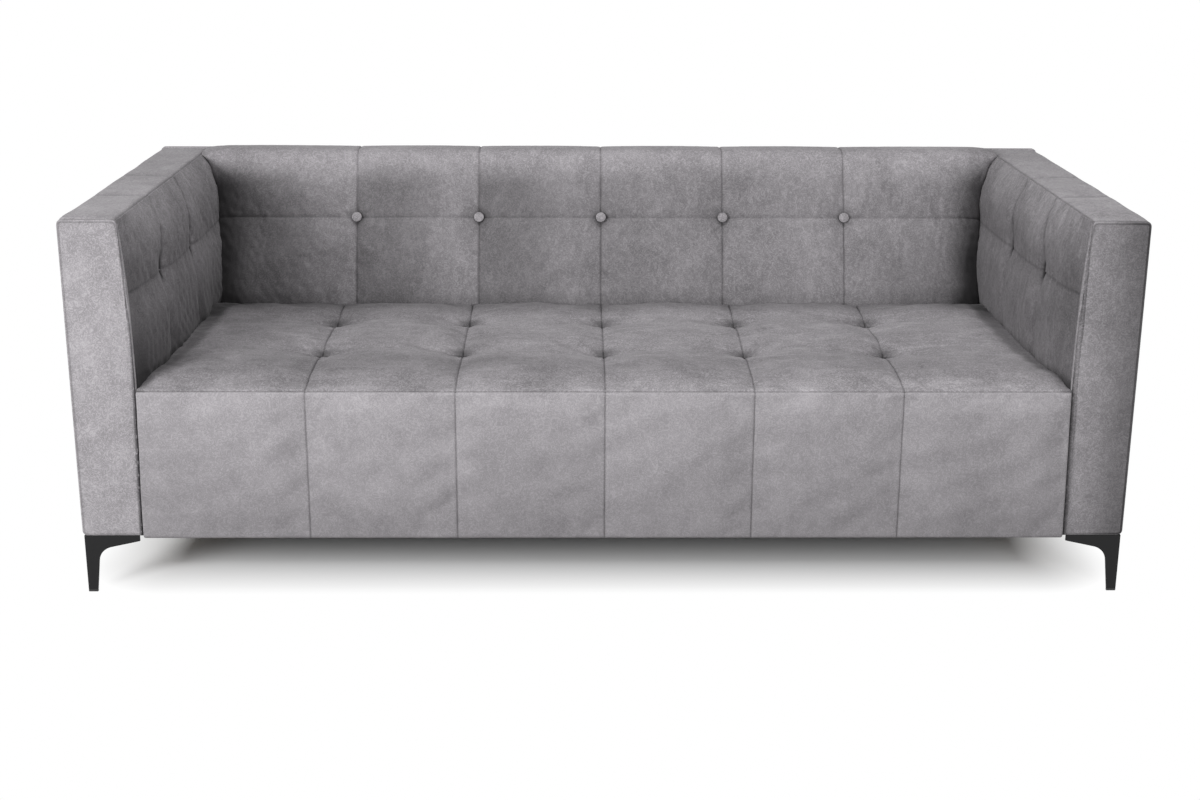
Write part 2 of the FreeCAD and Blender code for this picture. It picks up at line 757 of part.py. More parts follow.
def seat_cover_shape():
    """Seat block: six panels across and three swellings deep, rounded sides, ten tufts pulled in."""
    low, level, rear_level = size(SEAT_FOOT), size("seat_level"), size("seat_rear_level")
    front, rear = size(SEAT_FRONT), size("seat_rear")
    rows = [size("seat_tuft_front"), size("seat_tuft_rear")]
    crown, valley, lift = size("seat_crown"), size("seat_valley"), size("seat_row_lift")
    swell, dip = size("seat_front_crown"), size("seat_front_valley")
    edge, edge_rise = size("seat_front_edge"), size("seat_edge_rise")
    edge_level = level - size("seat_edge_drop")

    def section(x, puff):
        rise = valley + puff * (crown - valley)
        seam = level + lift * puff
        face = front + swell
        corners = [
            (rear, low, 0),
            (face, low, dip + (swell - dip) * puff),
            (face, edge_level - edge, edge_rise),
            (face + edge, edge_level, rise),
            (rows[0], seam, rise),
            (rows[1], seam, rise),
            (rear, rear_level, 0),
        ]
        return outline(corners, lambda across, up: Vector(x, across, up))

    half = size("seat_half_width")
    seams = [-half] + [size(x) for x in seat_seams()] + [half]
    block = quilted(seams, section, SEAT_END_PUFF)
    jacket_top = rear_level + size("seat_jacket_rise")
    reach = (front - TRIM_REACH, rear + TRIM_REACH)
    jacket = rounded_front(half, low - TRIM_REACH, jacket_top, size("seat_side_round"), *reach)
    arm = arm_pad_shape(size("soft_gap"))
    block = block.common(jacket).cut([arm, arm.mirror(Vector(), Vector(1, 0, 0))])
    depth = size("seat_tuft_depth")
    tuft = funnel(size("seat_tuft_radius"), depth, depth / 2)
    places = [Placement(Vector(size(x), size(y), level), Rotation()) for x, y in seat_tuft_places()]
    return pressed(block, tuft, places)


def seat_soft():
    """Cover, foam, felt and tuft cords of the seat, and the dust cover under it."""
    form = soft_form("seat_cover_form", seat_cover_shape())
    side = ("-(" + CAVITY_SIDE + ")", CAVITY_SIDE)
    inside = (RAIL_FRONT + " - frame_gap", RAIL_REAR + " + frame_gap")
    cavity = box("seat_cavity", side, inside, (SEAT_FOOT, "foam_top"))
    holes = seat_cord_holes("seat_cover")
    for number, drill in enumerate(seat_bolt_holes("seat_cover")):
        holes += both_sides(f"seat_cover_bolt_{number}", drill)
    hollow = cut("seat_cover_hollow", form, [cavity])
    name_part(cut("seat_cover", hollow, holes), "seat_cover")
    wide = ("-(" + RAIL_SIDE + ")", RAIL_SIDE)
    deep = (RAIL_FRONT, RAIL_REAR)
    foam = box("seat_foam_block", wide, deep, ("foam_base", "foam_top"))
    name_part(cut("seat_foam_drilled", foam, seat_cord_holes("seat_foam")), "seat_foam")
    felt = box("felt_sheet", wide, deep, ("foam_base - felt_depth", "foam_base"))
    name_part(cut("felt_drilled", felt, seat_cord_holes("felt")), "spring_felt")
    cords = []
    felt_foot = "(foam_base - felt_depth)"
    for number, (x, y) in enumerate(seat_tuft_places()):
        length = "seat_level - seat_tuft_depth - " + felt_foot
        cord = rod(f"seat_cord_{number}", "cord_radius", length, (x, y, felt_foot))
        under = (x, y, felt_foot + " - washer_depth")
        washer = rod(f"seat_washer_{number}", "washer_radius", "washer_depth", under)
        cords.append(fuse(f"seat_tie_{number}", cord, washer))
    name_part(group("seat_tuft_cord_group", cords), "seat_tuft_cords")
    wide = ("-seat_half_width + frame_gap", "seat_half_width - frame_gap")
    deep = (ARM_FRONT + " + frame_gap", FRAME_REAR)
    sheet_span = (SEAT_FOOT + " - dust_cover_depth", SEAT_FOOT)
    dust = box("dust_sheet", wide, deep, sheet_span)
    reach = "leg_plate / 2 + frame_gap"
    middle = ("centre_leg_front - (" + reach + ")", "centre_leg_front + " + reach)
    window = box("dust_window", ("-(" + reach + ")", reach), middle, sheet_span)
    name_part(cut("dust_cover", dust, [window]), "dust_cover")


def back_frame():
    """Rails and posts of the back, and the straps of webbing across them."""
    deep = ("back_frame_front", FRAME_REAR)
    wide = ("-(" + ARM_INSIDE + ")", ARM_INSIDE)
    top = ("back_top_rail_top - back_rail", "back_top_rail_top")
    bottom = ("back_bottom_rail_foot", "back_bottom_rail_foot + back_rail")
    name_part(box("back_top_rail", wide, deep, top), "back_top_rail")
    name_part(box("back_bottom_rail", wide, deep, bottom), "back_bottom_rail")
    height = (bottom[1], top[0])
    outer = box("outer_post", (ARM_INSIDE + " - back_post", ARM_INSIDE), deep, height)
    drilled = cut("outer_post_drilled", outer, back_bolt_holes("outer_post", "bolt_hole"))
    name_part(drilled, "back_post_right_outer")
    mirrored("back_post_left_outer", drilled)
    inner_span = ("back_post_inner - back_post / 2", "back_post_inner + back_post / 2")
    inner = name_part(box("inner_post", inner_span, deep, height), "back_post_right_inner")
    mirrored("back_post_left_inner", inner)
    straps = []
    drills = button_cord_rods("webbing", "cord_radius + cord_gap")
    thin = ("back_frame_front - webbing_depth", "back_frame_front")
    for number in range(WEBBING_COUNT):
        middle = f"webbing_first + {number} * webbing_pitch"
        span = (middle + " - webbing_width / 2", middle + " + webbing_width / 2")
        strap = box(f"strap_{number}", wide, thin, span)
        straps.append(cut(f"strap_{number}_drilled", strap, drills))
    name_part(group("webbing", straps), "back_webbing")


def back_seams():
    """Places across the back of its five seams."""
    middle = (BACK_SEAMS - 1) // 2
    return [f"({number - middle}) * back_seam_pitch" for number in range(BACK_SEAMS)]


def button_turn():
    """Turn that sets +Z square to the back's sloping face."""
    return Rotation(Vector(1, 0, 0), 90 - size("button_tilt"))


def button_places():
    """Middle of each button, on the crossings of the back's seams."""
    return [(x, "back_seam_front", "back_seam_level") for x in back_seams()]


def button_cord_rods(name, radius):
    """Rods through the back along the buttons' own axis, from each button to behind the webbing."""
    turn = Rotation(Vector(1, 0, 0), -90 - size("button_tilt"))
    return [
        rod(f"{name}_button_cord_{number}", radius, "button_cord", place, turn)
        for number, place in enumerate(button_places())
    ]


def back_pad_shape():
    """Back pad: six panels across, two swellings up the slope, a rolled crest, ends shaped to the arms."""
    web = size("back_frame_front") - size("webbing_depth")
    low, sit, seam = size("back_low"), size("back_sit_level"), size("back_seam_level")
    brow, crest, roll = size("back_brow_level"), size("back_crest_level"), size("back_roll_level")
    ledge = size("back_top_rail_top + frame_gap")
    rear = size(BACK_INSIDE)
    crown, valley = size("back_crown"), size("back_valley")
    front, seam_front = size("back_front_low"), size("back_seam_front")

    def section(x, puff):
        rise = valley + puff * (crown - valley)
        corners = [
            (web, low, 0),
            (front, low, 0),
            (front, sit, rise),
            (seam_front - size("back_seam_puff") * puff, seam, rise - size("back_low_ease")),
            (size("back_brow_front") - size("back_brow_puff") * puff, brow, size("back_brow_rise")),
            (size("back_crest_front"), crest - size("back_crest_notch") * (1 - puff), size("back_crest_rise")),
            (rear, roll, 0),
            (rear, ledge, 0),
            (web, ledge, 0),
        ]
        return outline(corners, lambda across, up: Vector(x, across, up))

    half = size(ARM_INSIDE) - size("soft_gap")
    seams = [-half] + [size(x) for x in back_seams()] + [half]
    pad = quilted(seams, section, BACK_END_PUFF)
    jacket_top = crest + size("back_jacket_rise")
    reach = (front - TRIM_REACH, rear + TRIM_REACH)
    jacket = rounded_front(half, low - TRIM_REACH, jacket_top, size("back_side_round"), *reach)
    pad = pad.common(jacket)
    arm = arm_pad_shape(size("soft_gap"))
    pad = pad.cut([arm, arm.mirror(Vector(), Vector(1, 0, 0))])
    button = size("button_radius + button_ease")
    flare = button * size("button_dimple_ratio")
    dimple = funnel(flare, size("button_half_depth + button_ease"), size("button_dimple_lift"), button)
    spots = [Placement(Vector(*map(size, place)), button_turn()) for place in button_places()]
    return pressed(pad, dimple, spots)


def back_soft():
    """Pad, foam core, buttons and button cords of the back."""
    core = doc.addObject("PartDesign::Body", "back_core")
    web = "back_frame_front - webbing_depth"
    corners = [
        (web, "back_low + back_foam_ends"),
        ("back_front_low + back_foam_inset", "back_low + back_foam_ends"),
        ("back_front_low + back_foam_inset", "back_sit_level - back_foam_ends"),
        ("back_seam_front + back_foam_top_inset", "back_seam_level + back_foam_ends"),
        ("back_brow_front", "back_brow_level - back_foam_top_inset"),
        (web, "back_brow_level - back_foam_top_inset"),
    ]
    add_pad(core, "YZ_Plane", corners, "-back_foam_half_width", "2 * back_foam_half_width")
    form = soft_form("back_pad_form", back_pad_shape())
    hollow = cut("back_pad_hollow", form, [core])
    name_part(cut("back_pad", hollow, button_cord_rods("pad", "cord_radius + cord_gap")), "back_pad")
    name_part(cut("back_foam", core, button_cord_rods("foam", "cord_radius + cord_gap")), "back_foam")
    buttons = []
    for number, place in enumerate(button_places()):
        button = doc.addObject("Part::Ellipsoid", f"button_{number}")
        button.Placement = Placement(Vector(), button_turn())
        button.setExpression("Radius1", cell("button_half_depth"))
        button.setExpression("Radius2", cell("button_radius"))
        button.setExpression("Radius3", cell("button_radius"))
        for axis, coordinate in zip("xyz", place):
            button.setExpression(f"Placement.Base.{axis}", cell(coordinate))
        buttons.append(button)
    name_part(group("buttons", buttons), "back_buttons")
    cords = button_cord_rods("tie", "cord_radius")
    name_part(cut("button_cords", group("cords", cords), buttons), "button_cords")


def back_panel():
    """Flat upholstered panel that closes the back from side to side."""
    panel = doc.addObject("PartDesign::Body", "outer_back")
    corners = rectangle(("-" + OUTSIDE, OUTSIDE), ("leg_height", "arm_top"))
    add_pad(panel, "XZ_Plane", corners, "-overall_depth / 2", "back_panel_depth")
    rear = size("overall_depth / 2")
    round_edges(panel, "back_panel_edge", lambda edge: edge.BoundBox.YMin > rear - 0.01)
    name_part(panel, "back_outer_panel")


def leg_screw_places():
    """Across and front-to-back places of the right arm's leg screws, front and rear leg by turns."""
    places = []
    for y in ("plate_screw_near", "plate_screw_far"):
        for x in ("plate_screw_side", "leg_plate - plate_screw_edge"):
            across = f"{OUTSIDE} - leg_inset - ({x})"
            places.append((across, f"{ARM_FRONT} + leg_inset + {y}"))
            places.append((across, f"overall_depth / 2 - leg_inset - {y}"))
    return places


def legs():
    """Corner legs: two tapering blades that meet at the outer corner, under a plate, on a three-cornered glide."""
    body = doc.addObject("PartDesign::Body", "leg_body")
    side = f"({OUTSIDE} - leg_inset)"
    front = f"({ARM_FRONT} + leg_inset)"
    up = "leg_height"

    def blade(edge, way):
        return [
            (f"{edge} {way} leg_reach", up),
            (edge, up),
            (edge, "glide_height"),
            (f"{edge} {way} leg_foot", "glide_height"),
            (f"{edge} {way} leg_bend_across", "leg_bend_height"),
            (f"{edge} {way} leg_reach", up + " - leg_tip_height"),
        ]

    add_pad(body, "XZ_Plane", blade(side, "-"), f"-({front} + leg_blade)", "leg_blade")
    add_pad(body, "YZ_Plane", blade(front, "+"), f"{side} - leg_blade", "leg_blade")
    plate_across = (f"{side} - leg_plate", f"{side} - leg_blade / 2")
    plate_along = (f"{front} + leg_blade / 2", f"{front} + leg_plate_deep")
    add_pad(body, "XY_Plane", rectangle(plate_across, plate_along), PLATE_FOOT, "leg_blade")
    bend = size("leg_bend_height")

    def at_bend(edge):
        return abs(edge.BoundBox.ZMin - bend) < 0.01 and abs(edge.BoundBox.ZMax - bend) < 0.01

    round_edges(body, "leg_bend_round", at_bend)
    screws = [
        rod(f"leg_hole_{number}", "screw_radius + screw_gap", "leg_blade", (x, y, PLATE_FOOT))
        for number, (x, y) in enumerate(leg_screw_places()[::2])
    ]
    right_front = name_part(cut("leg_drilled", body, screws), "leg_front_right")
    glide = doc.addObject("PartDesign::Body", "glide_body")
    foot = [
        (f"{side} - leg_foot", front),
        (side, front),
        (side, f"{front} + leg_foot"),
        (f"{side} - leg_blade", f"{front} + leg_foot"),
        (f"{side} - leg_foot", f"{front} + leg_blade"),
    ]
    add_pad(glide, "XY_Plane", foot, "0", "glide_height")
    round_edges(glide, "glide_edge", lambda edge: edge.BoundBox.ZMax < 0.01)
    post = [
        (f"{side} - leg_foot + frame_gap", f"{front} + leg_blade"),
        (f"{side} - leg_blade", f"{front} + leg_blade"),
        (f"{side} - leg_blade", f"{front} + leg_foot - frame_gap"),
    ]
    add_pad(glide, "XY_Plane", post, "glide_height", "glide_upstand")
    name_part(glide, "glide_front_right")
    middle = "front_overhang / 2"
    for kind, source in (("leg", right_front), ("glide", glide)):
        right_rear = mirrored(f"{kind}_rear_right", source, Vector(0, 1, 0), middle)
        mirrored(f"{kind}_front_left", source)
        mirrored(f"{kind}_rear_left", right_rear)


def screw(name, x, y):
    """Pan-head screw driven up through a leg plate."""
    head = rod(name + "_head", "screw_head_radius", "screw_head", (x, y, PLATE_FOOT + " - screw_head"))
    shank = rod(name + "_shank", "screw_radius", "screw_length + leg_blade", (x, y, PLATE_FOOT))
    return fuse(name, head, shank)


def leg_screws():
    """Screws of the corner legs."""
    screws = []
    for number, (x, y) in enumerate(leg_screw_places()):
        screws += both_sides(f"leg_screw_{number}", screw(f"leg_screw_{number}", x, y))
    name_part(group("leg_screw_group", screws), "leg_screws")


def centre_screw_places():
    """Places of the four screws of the middle leg's plate."""
    across = ("centre_screw_across", "-centre_screw_across")
    along = ("centre_leg_front + centre_screw_along", "centre_leg_front - centre_screw_along")
    return [(x, y) for x in across for y in along]


def centre_leg():
    """Support leg under the middle of the seat, and the foot whose stem screws up into it."""
    reach = "leg_plate / 2"
    span = (f"centre_leg_front - {reach}", f"centre_leg_front + {reach}")
    plate = box("centre_plate", (f"-{reach}", reach), span, (PLATE_FOOT, "leg_height"))
    foot = "(centre_foot_disc + foot_gap)"
    start = ("0", "centre_leg_front", foot)
    tube = rod("centre_tube", "centre_leg_radius", f"{PLATE_FOOT} - {foot}", start)
    blank = fuse("centre_leg_blank", plate, tube)
    bore = rod("centre_bore", "centre_leg_bore", f"centre_leg_bore_top - {foot}", start)
    holes = [
        rod(f"centre_hole_{number}", "screw_radius + screw_gap", "leg_blade", (x, y, PLATE_FOOT))
        for number, (x, y) in enumerate(centre_screw_places())
    ]
    name_part(cut("centre_leg_drilled", blank, [bore] + holes), "centre_leg")
    disc = rod("foot_disc", "centre_foot_radius", "centre_foot_disc", ("0", "centre_leg_front", "0"))
    stem_length = "centre_foot_stem_top - centre_foot_disc"
    stem = rod("foot_stem", "centre_foot_stem", stem_length, ("0", "centre_leg_front", "centre_foot_disc"))
    name_part(fuse("foot", disc, stem), "centre_foot")
    screws = [screw(f"centre_screw_{number}", x, y) for number, (x, y) in enumerate(centre_screw_places())]
    name_part(group("centre_screw_group", screws), "centre_leg_screws")


def check_model():
    """Stop if any document object failed or any sub-part is empty or broken."""
    doc.recompute()
    for item in doc.Objects:
        if any(state in item.State for state in ("Invalid", "Error")):
            raise RuntimeError(f"{item.Name} failed: {item.State}")
    for label, piece in sub_parts.items():
        if piece.Shape.isNull() or not piece.Shape.isValid() or piece.Shape.Volume <= 0:
            raise RuntimeError(f"{label} has no sound solid")


def write_parts():
    """Write each sub-part's shape to a file of its own."""
    os.makedirs("parts", exist_ok=True)
    for label, piece in sub_parts.items():
        piece.Shape.exportStep(f"parts/{label}.step")
    print(len(sub_parts), "sub-parts written")


fill_sheet()
arm_frame()
arm_covers()
arm_pad()
mirror_arm()
arm_tuft_cords()
seat_frame()
springs()
seat_soft()
back_frame()
back_soft()
back_panel()
legs()
leg_screws()
centre_leg()
bolts_and_nuts()
check_model()
write_parts()
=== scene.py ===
import json
import math

import bpy
import numpy as np
from mathutils import Matrix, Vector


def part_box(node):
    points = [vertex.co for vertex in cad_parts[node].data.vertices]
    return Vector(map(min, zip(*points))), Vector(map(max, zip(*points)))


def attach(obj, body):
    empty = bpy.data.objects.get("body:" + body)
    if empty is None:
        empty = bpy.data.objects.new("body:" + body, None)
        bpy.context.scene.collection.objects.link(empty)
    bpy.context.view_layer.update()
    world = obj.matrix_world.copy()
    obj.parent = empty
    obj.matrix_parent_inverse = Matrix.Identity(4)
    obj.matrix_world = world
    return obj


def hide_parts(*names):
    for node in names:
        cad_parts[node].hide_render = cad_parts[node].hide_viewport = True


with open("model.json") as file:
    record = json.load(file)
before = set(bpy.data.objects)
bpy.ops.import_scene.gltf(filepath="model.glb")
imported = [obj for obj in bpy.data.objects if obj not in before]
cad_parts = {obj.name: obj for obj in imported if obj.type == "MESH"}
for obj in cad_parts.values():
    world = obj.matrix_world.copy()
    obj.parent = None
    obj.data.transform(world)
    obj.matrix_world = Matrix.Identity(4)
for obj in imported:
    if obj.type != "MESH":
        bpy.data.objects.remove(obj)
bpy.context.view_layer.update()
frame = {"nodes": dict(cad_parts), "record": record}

# Sizes of the sofa in metres, in the frame of the solids: +X to the right, +Y to the back, +Z up.
ARM_INSIDE = 0.935
ARM_OUTSIDE = 1.050
ARM_TOP = 0.766
ARM_FOOT = 0.122
PANEL_FACE = -0.448
PANEL_REAR = -0.436
COVER_REAR = 0.446
BACK_FACE = 0.462
ARM_PAD_FRONT = -0.447
ARM_PAD_REAR = 0.372
ARM_PAD_DEPTH = 0.046
ARM_ROLL_DROP = 0.30
ARM_ROLL_POWER = 5.5
ARM_PAD_TUCK = 0.009
TUCK_LOW = 0.385
TUCK_HIGH = 0.425
ARM_ROW = 0.620
ARM_SEAM_TOPS = np.array([-0.186, 0.051])
ARM_TUFTS = np.array([-0.226, 0.016])
COVER_HALF = 0.934
SEAT_FRONT_TOP = -0.449
SEAT_SEAMS = np.array([-0.590, -0.295, 0.0, 0.295, 0.590])
SEAT_EDGES = [-COVER_HALF, *SEAT_SEAMS, COVER_HALF]
SEAT_ROWS = np.array([-0.203, 0.037])
BACK_SEAMS = np.array([-0.568, -0.284, 0.0, 0.284, 0.568])
BACK_EDGES = [-COVER_HALF, *BACK_SEAMS, COVER_HALF]
BACK_ROW = (0.281, 0.633)
BACK_REAR = 0.374
BUTTON_TILT = math.radians(22.3)
RIGHT_SEED = 31
LEFT_SEED = 47
# Share of a normal over which the seat's top and front fade in
SEAT_TURN = (0.45, 0.95)


# Curves that the padded forms are made of

def smooth(low, high, value):
    """Goes from 0 at low to 1 at high along the curve 3t^2 - 2t^3."""
    share = np.clip((value - low) / (high - low), 0, 1)
    return share * share * (3 - 2 * share)


def hill(distance, width):
    """Bell of height 1: e to the minus squared distance over width."""
    return np.exp(-((distance / width) ** 2))


def crease(distance, width):
    """Sharp fold of depth 1: e to the minus distance over width."""
    return np.exp(-np.abs(distance) / width)


def swell(share, fullness):
    """Rise of a stuffed panel, steep beside its seams and flat in the middle: 1 - |2t - 1|^fullness."""
    return 1 - np.abs(2 * share - 1) ** fullness


def stitches(place, pitch, slow):
    """Uneven pull of a row of stitches: a sine of that pitch, whose phase wanders over the slow length."""
    return np.sin(2 * math.pi * place / pitch + 2 * np.sin(place / slow))


def panel_share(place, seams):
    """How far across its panel each place lies, 0 at one seam and 1 at the next."""
    seams = np.asarray(seams)
    panel = np.clip(np.searchsorted(seams, place) - 1, 0, len(seams) - 2)
    return np.clip((place - seams[panel]) / (seams[panel + 1] - seams[panel]), 0, 1)


def from_line(place, lines):
    """Distance from each place to the nearest of the lines."""
    return np.abs(np.asarray(place)[..., None] - np.asarray(lines)).min(axis=-1)


def ripple(across, along, seed, lengths, lean, spread=0.35, count=16):
    """Uneven cloth: a seeded sum of sine waves whose crests stand about square to the angle lean."""
    draw = np.random.default_rng(seed)
    waves = draw.uniform(1 / lengths[1], 1 / lengths[0], count)
    turns = lean + draw.normal(0, spread, count)
    starts = draw.uniform(0, 2 * math.pi, count)
    total = 0
    for wave, turn, start in zip(waves, turns, starts):
        reach = across * math.cos(turn) + along * math.sin(turn)
        total = total + np.sin(2 * math.pi * wave * reach + start)
    return total / math.sqrt(count / 2)


def stations(low, high, step, lines):
    """Places from low to high about a step apart, with closer ones beside each line."""
    close = np.array([0, 0.0012, 0.0025, 0.004, 0.0065])
    even = np.linspace(low, high, int(round((high - low) / step)) + 1)
    even = even[from_line(even, lines) > close[-1] + step / 3]
    beside = (np.asarray(lines)[:, None] + np.concatenate([-close[:0:-1], close])).ravel()
    ends = np.array([0.0008, 0.002, 0.004, 0.0065, 0.01, 0.014])
    places = np.concatenate([even, beside, low + ends, high - ends])
    places = np.unique(np.round(places, 5))
    return places[(places >= low) & (places <= high)]


def rounded_loop(corners, radii, steps):
    """Closed outline with its inside on the right: straight runs joined by arcs that touch both runs.

    Gives the points, their outward normals, the length run so far, and that length at each corner."""
    corners = np.array(corners, float)
    points, normals, marks = [], [], []
    for number, here in enumerate(corners):
        into = here - corners[number - 1]
        away = corners[(number + 1) % len(corners)] - here
        into = into / np.linalg.norm(into)
        away = away / np.linalg.norm(away)
        turn = math.atan2(into[0] * away[1] - into[1] * away[0], into @ away)
        reach = radii[number] * math.tan(abs(turn) / 2)
        count = max(3, int(abs(turn) * radii[number] / min(steps[number], 0.0035)) + 2)
        angles = np.linspace(0, turn, count)
        side = np.array([-into[1], into[0]])
        turned = np.stack([side[0] * np.cos(angles) - side[1] * np.sin(angles),
                           side[0] * np.sin(angles) + side[1] * np.cos(angles)], axis=-1)
        bulge = -math.copysign(1, turn)
        centre = here - into * reach - side * bulge * radii[number]
        arc = centre + turned * bulge * radii[number]
        if points:
            run = straight_run(points[-1][-1], arc[0], steps[number - 1])
            points.append(run)
            normals.append(np.repeat(side[None], len(run), axis=0))
        marks.append(sum(len(part) for part in points) + count // 2)
        points.append(arc)
        normals.append(turned)
    run = straight_run(points[-1][-1], points[0][0], steps[-1])
    points.append(run)
    normals.append(np.repeat(normals[0][:1], len(run), axis=0))
    points = np.concatenate(points)
    normals = np.concatenate(normals)
    gone = np.concatenate([[0], np.cumsum(np.linalg.norm(np.diff(points, axis=0), axis=1))])
    return points, normals, gone, gone[marks]


def straight_run(start, end, step):
    """Points between two ends about a step apart, without the ends themselves."""
    count = max(1, int(np.linalg.norm(end - start) / step))
    shares = np.linspace(0, 1, count + 2)[1:-1, None]
    return start + (end - start) * shares


# Meshes

def put(name, data):
    """New object in the scene."""
    piece = bpy.data.objects.new(name, data)
    bpy.context.scene.collection.objects.link(piece)
    return piece


def skin(name, points, faces):
    """Mesh object over the points and faces, shaded smooth."""
    mesh = bpy.data.meshes.new(name)
    mesh.from_pydata(points.tolist(), [], faces)
    mesh.update()
    mesh.shade_smooth()
    return put(name, mesh)


def mark_pressed_and_shade(piece, pressed_and_shade):
    """Writes on each point how dark its pile is made, from 0 to 1: partly compressed pile, partly painted
    shade.
    """
    marks = piece.data.attributes.new("pressed_and_shade", "FLOAT", "POINT")
    marks.data.foreach_set("value", np.clip(pressed_and_shade, 0, 1).astype(np.float32))


def shell(rings):
    """Points, quads and end fans over a row of closed rings, with a pole in the middle of each end.

    The sum of the signed tetrahedra tells which way the faces must turn to look outward."""
    rows, around = rings.shape[:2]
    here = np.arange(rows * around).reshape(rows, around)
    right = np.roll(here, -1, axis=1)
    quads = np.stack([here[:-1], right[:-1], right[1:], here[1:]], axis=-1).reshape(-1, 4)
    pole = np.full(around, rows * around)
    fans = np.concatenate([np.stack([right[0], here[0], pole], axis=-1),
                           np.stack([here[-1], right[-1], pole + 1], axis=-1)])
    points = np.concatenate([rings.reshape(-1, 3), rings[[0, -1]].mean(axis=1)])
    halves = np.concatenate([quads[:, [0, 1, 2]], quads[:, [0, 2, 3]], fans])
    a, b, c = points[halves[:, 0]], points[halves[:, 1]], points[halves[:, 2]]
    if np.einsum("ij,ij->i", a, np.cross(b, c)).sum() < 0:
        quads, fans = quads[:, ::-1], fans[:, ::-1]
    return points, quads, fans


def closed_form(name, rings, pressed_and_shade=None, bands=None):
    """Skin over a row of closed rings.

    The third argument says how dark the pile is made at each point, partly for compressed pile and partly as
    painted shade, and bands which material each strip has."""
    points, quads, fans = shell(rings)
    piece = skin(name, points, quads.tolist() + fans.tolist())
    if pressed_and_shade is not None:
        mark_pressed_and_shade(piece, np.concatenate([pressed_and_shade.ravel(), [0, 0]]))
    if bands is not None:
        strips = np.concatenate([np.tile(bands, len(rings) - 1), np.zeros(len(fans), int)])
        piece.data.polygons.foreach_set("material_index", strips.astype(np.int32))
    return piece


def closed_forms(name, many_rings):
    """One skin over several rows of closed rings."""
    points, faces, first = [], [], 0
    for rings in many_rings:
        corners, quads, fans = shell(rings)
        points.append(corners)
        faces += (quads + first).tolist() + (fans + first).tolist()
        first += len(corners)
    return skin(name, np.concatenate(points), faces)


def grid_quads(rows, across):
    """Quads of a grid whose points are numbered row by row."""
    here = np.arange(rows * across).reshape(rows, across)
    return np.stack([here[:-1, :-1], here[:-1, 1:], here[1:, 1:], here[1:, :-1]], axis=-1)


def open_form(name, grid, pressed_and_shade, thickness):
    """Sheet over a grid of points, given its thickness on the inside."""
    quads = grid_quads(*grid.shape[:2])
    piece = skin(name, grid.reshape(-1, 3), quads.reshape(-1, 4).tolist())
    mark_pressed_and_shade(piece, pressed_and_shade.ravel())
    wall = piece.modifiers.new("wall", "SOLIDIFY")
    wall.thickness = thickness
    wall.offset = -1
    wall.use_even_offset = True
    return piece


def quarter_round(distance, radius):
    """How far an edge of that radius lies back, at a distance inside the end: r - root(r^2 - (r - d)^2)."""
    left = np.clip(radius - distance, 0, radius)
    return radius - np.sqrt(radius * radius - left * left)


def along_x(x, loop_points, loop_normals, rise):
    """Outline in Y and Z carried along X, each point moved out along the outline's normal by its rise."""
    section = loop_points + loop_normals * rise[..., None]
    width = np.broadcast_to(x[:, None], rise.shape)
    return np.concatenate([width[..., None], section], axis=-1)


# Cloth simulation

MOST_MOVE = 0.006
CLOTH_FRAMES = 20
COVER_CLOTH = {"quality": 5, "mass": 0.3, "tension_stiffness": 15, "compression_stiffness": 15,
               "shear_stiffness": 5, "bending_stiffness": 0.3, "air_damping": 4, "vertex_group_mass": "held",
               "use_pressure": True}
# Pressure inside a cover, and its share of spare cloth
COVER_PUFF = (0.5, 0.006)
ARM_PUFF = (0.6, 0.010)
# Distances between the points of the fine and the simulated covers
FINE_STEP = 0.0062
LOOSE_STEP = 0.0125
ARM_FINE_STEP = 0.0034
ARM_LOOSE_STEP = 0.0105


def panel_stations(edges, step):
    """Even places across each panel, with one at every seam."""
    runs = [np.linspace(low, high, max(2, int(round((high - low) / step))), endpoint=False)
            for low, high in zip(edges[:-1], edges[1:])]
    return np.concatenate([*runs, [edges[-1]]])


def puffed(name, rings, held, pressure, spare):
    """How far each point moves when the cover, held at its seams, is blown up with a little spare cloth."""
    piece = closed_form(name, rings)
    rest = shell(rings)[0]
    pins = piece.vertex_groups.new(name="held")
    pins.add(np.flatnonzero(np.concatenate([held.ravel(), [True, True]])).tolist(), 1.0, "REPLACE")
    cover = piece.modifiers.new("cover", "CLOTH")
    for key, value in COVER_CLOTH.items():
        setattr(cover.settings, key, value)
    cover.settings.shrink_min = -spare
    cover.settings.uniform_pressure_force = pressure
    cover.settings.effector_weights.gravity = 0
    cover.point_cache.frame_start = 1
    cover.point_cache.frame_end = CLOTH_FRAMES
    for step in range(1, CLOTH_FRAMES + 1):
        bpy.context.scene.frame_set(step)
    swollen = piece.evaluated_get(bpy.context.evaluated_depsgraph_get())
    places = np.empty(len(rest) * 3, np.float32)
    swollen.data.vertices.foreach_get("co", places)
    moves = places.reshape(-1, 3) - rest
    far = np.linalg.norm(moves, axis=1, keepdims=True)
    moves = moves * np.minimum(1, MOST_MOVE / np.maximum(far, 1e-9))
    bpy.data.objects.remove(piece)
    bpy.context.scene.frame_set(1)
    return moves[:-2].reshape(rings.shape)


def between(known, wanted):
    """For each wanted place, the known one before it and its share of the way to the next."""
    index = np.clip(np.searchsorted(known, wanted, side="right") - 1, 0, len(known) - 2)
    return index, np.clip((wanted - known[index]) / (known[index + 1] - known[index]), 0, 1)


def spread(moves, from_rows, from_places, rows, places):
    """Moves of a coarse grid carried over to a fine one, in straight lines along both directions."""
    for known, wanted in ((from_rows, rows), (from_places, places)):
        index, share = between(known, wanted)
        share = share[:, None, None]
        moves = (moves[index] * (1 - share) + moves[index + 1] * share).swapaxes(0, 1)
    return moves


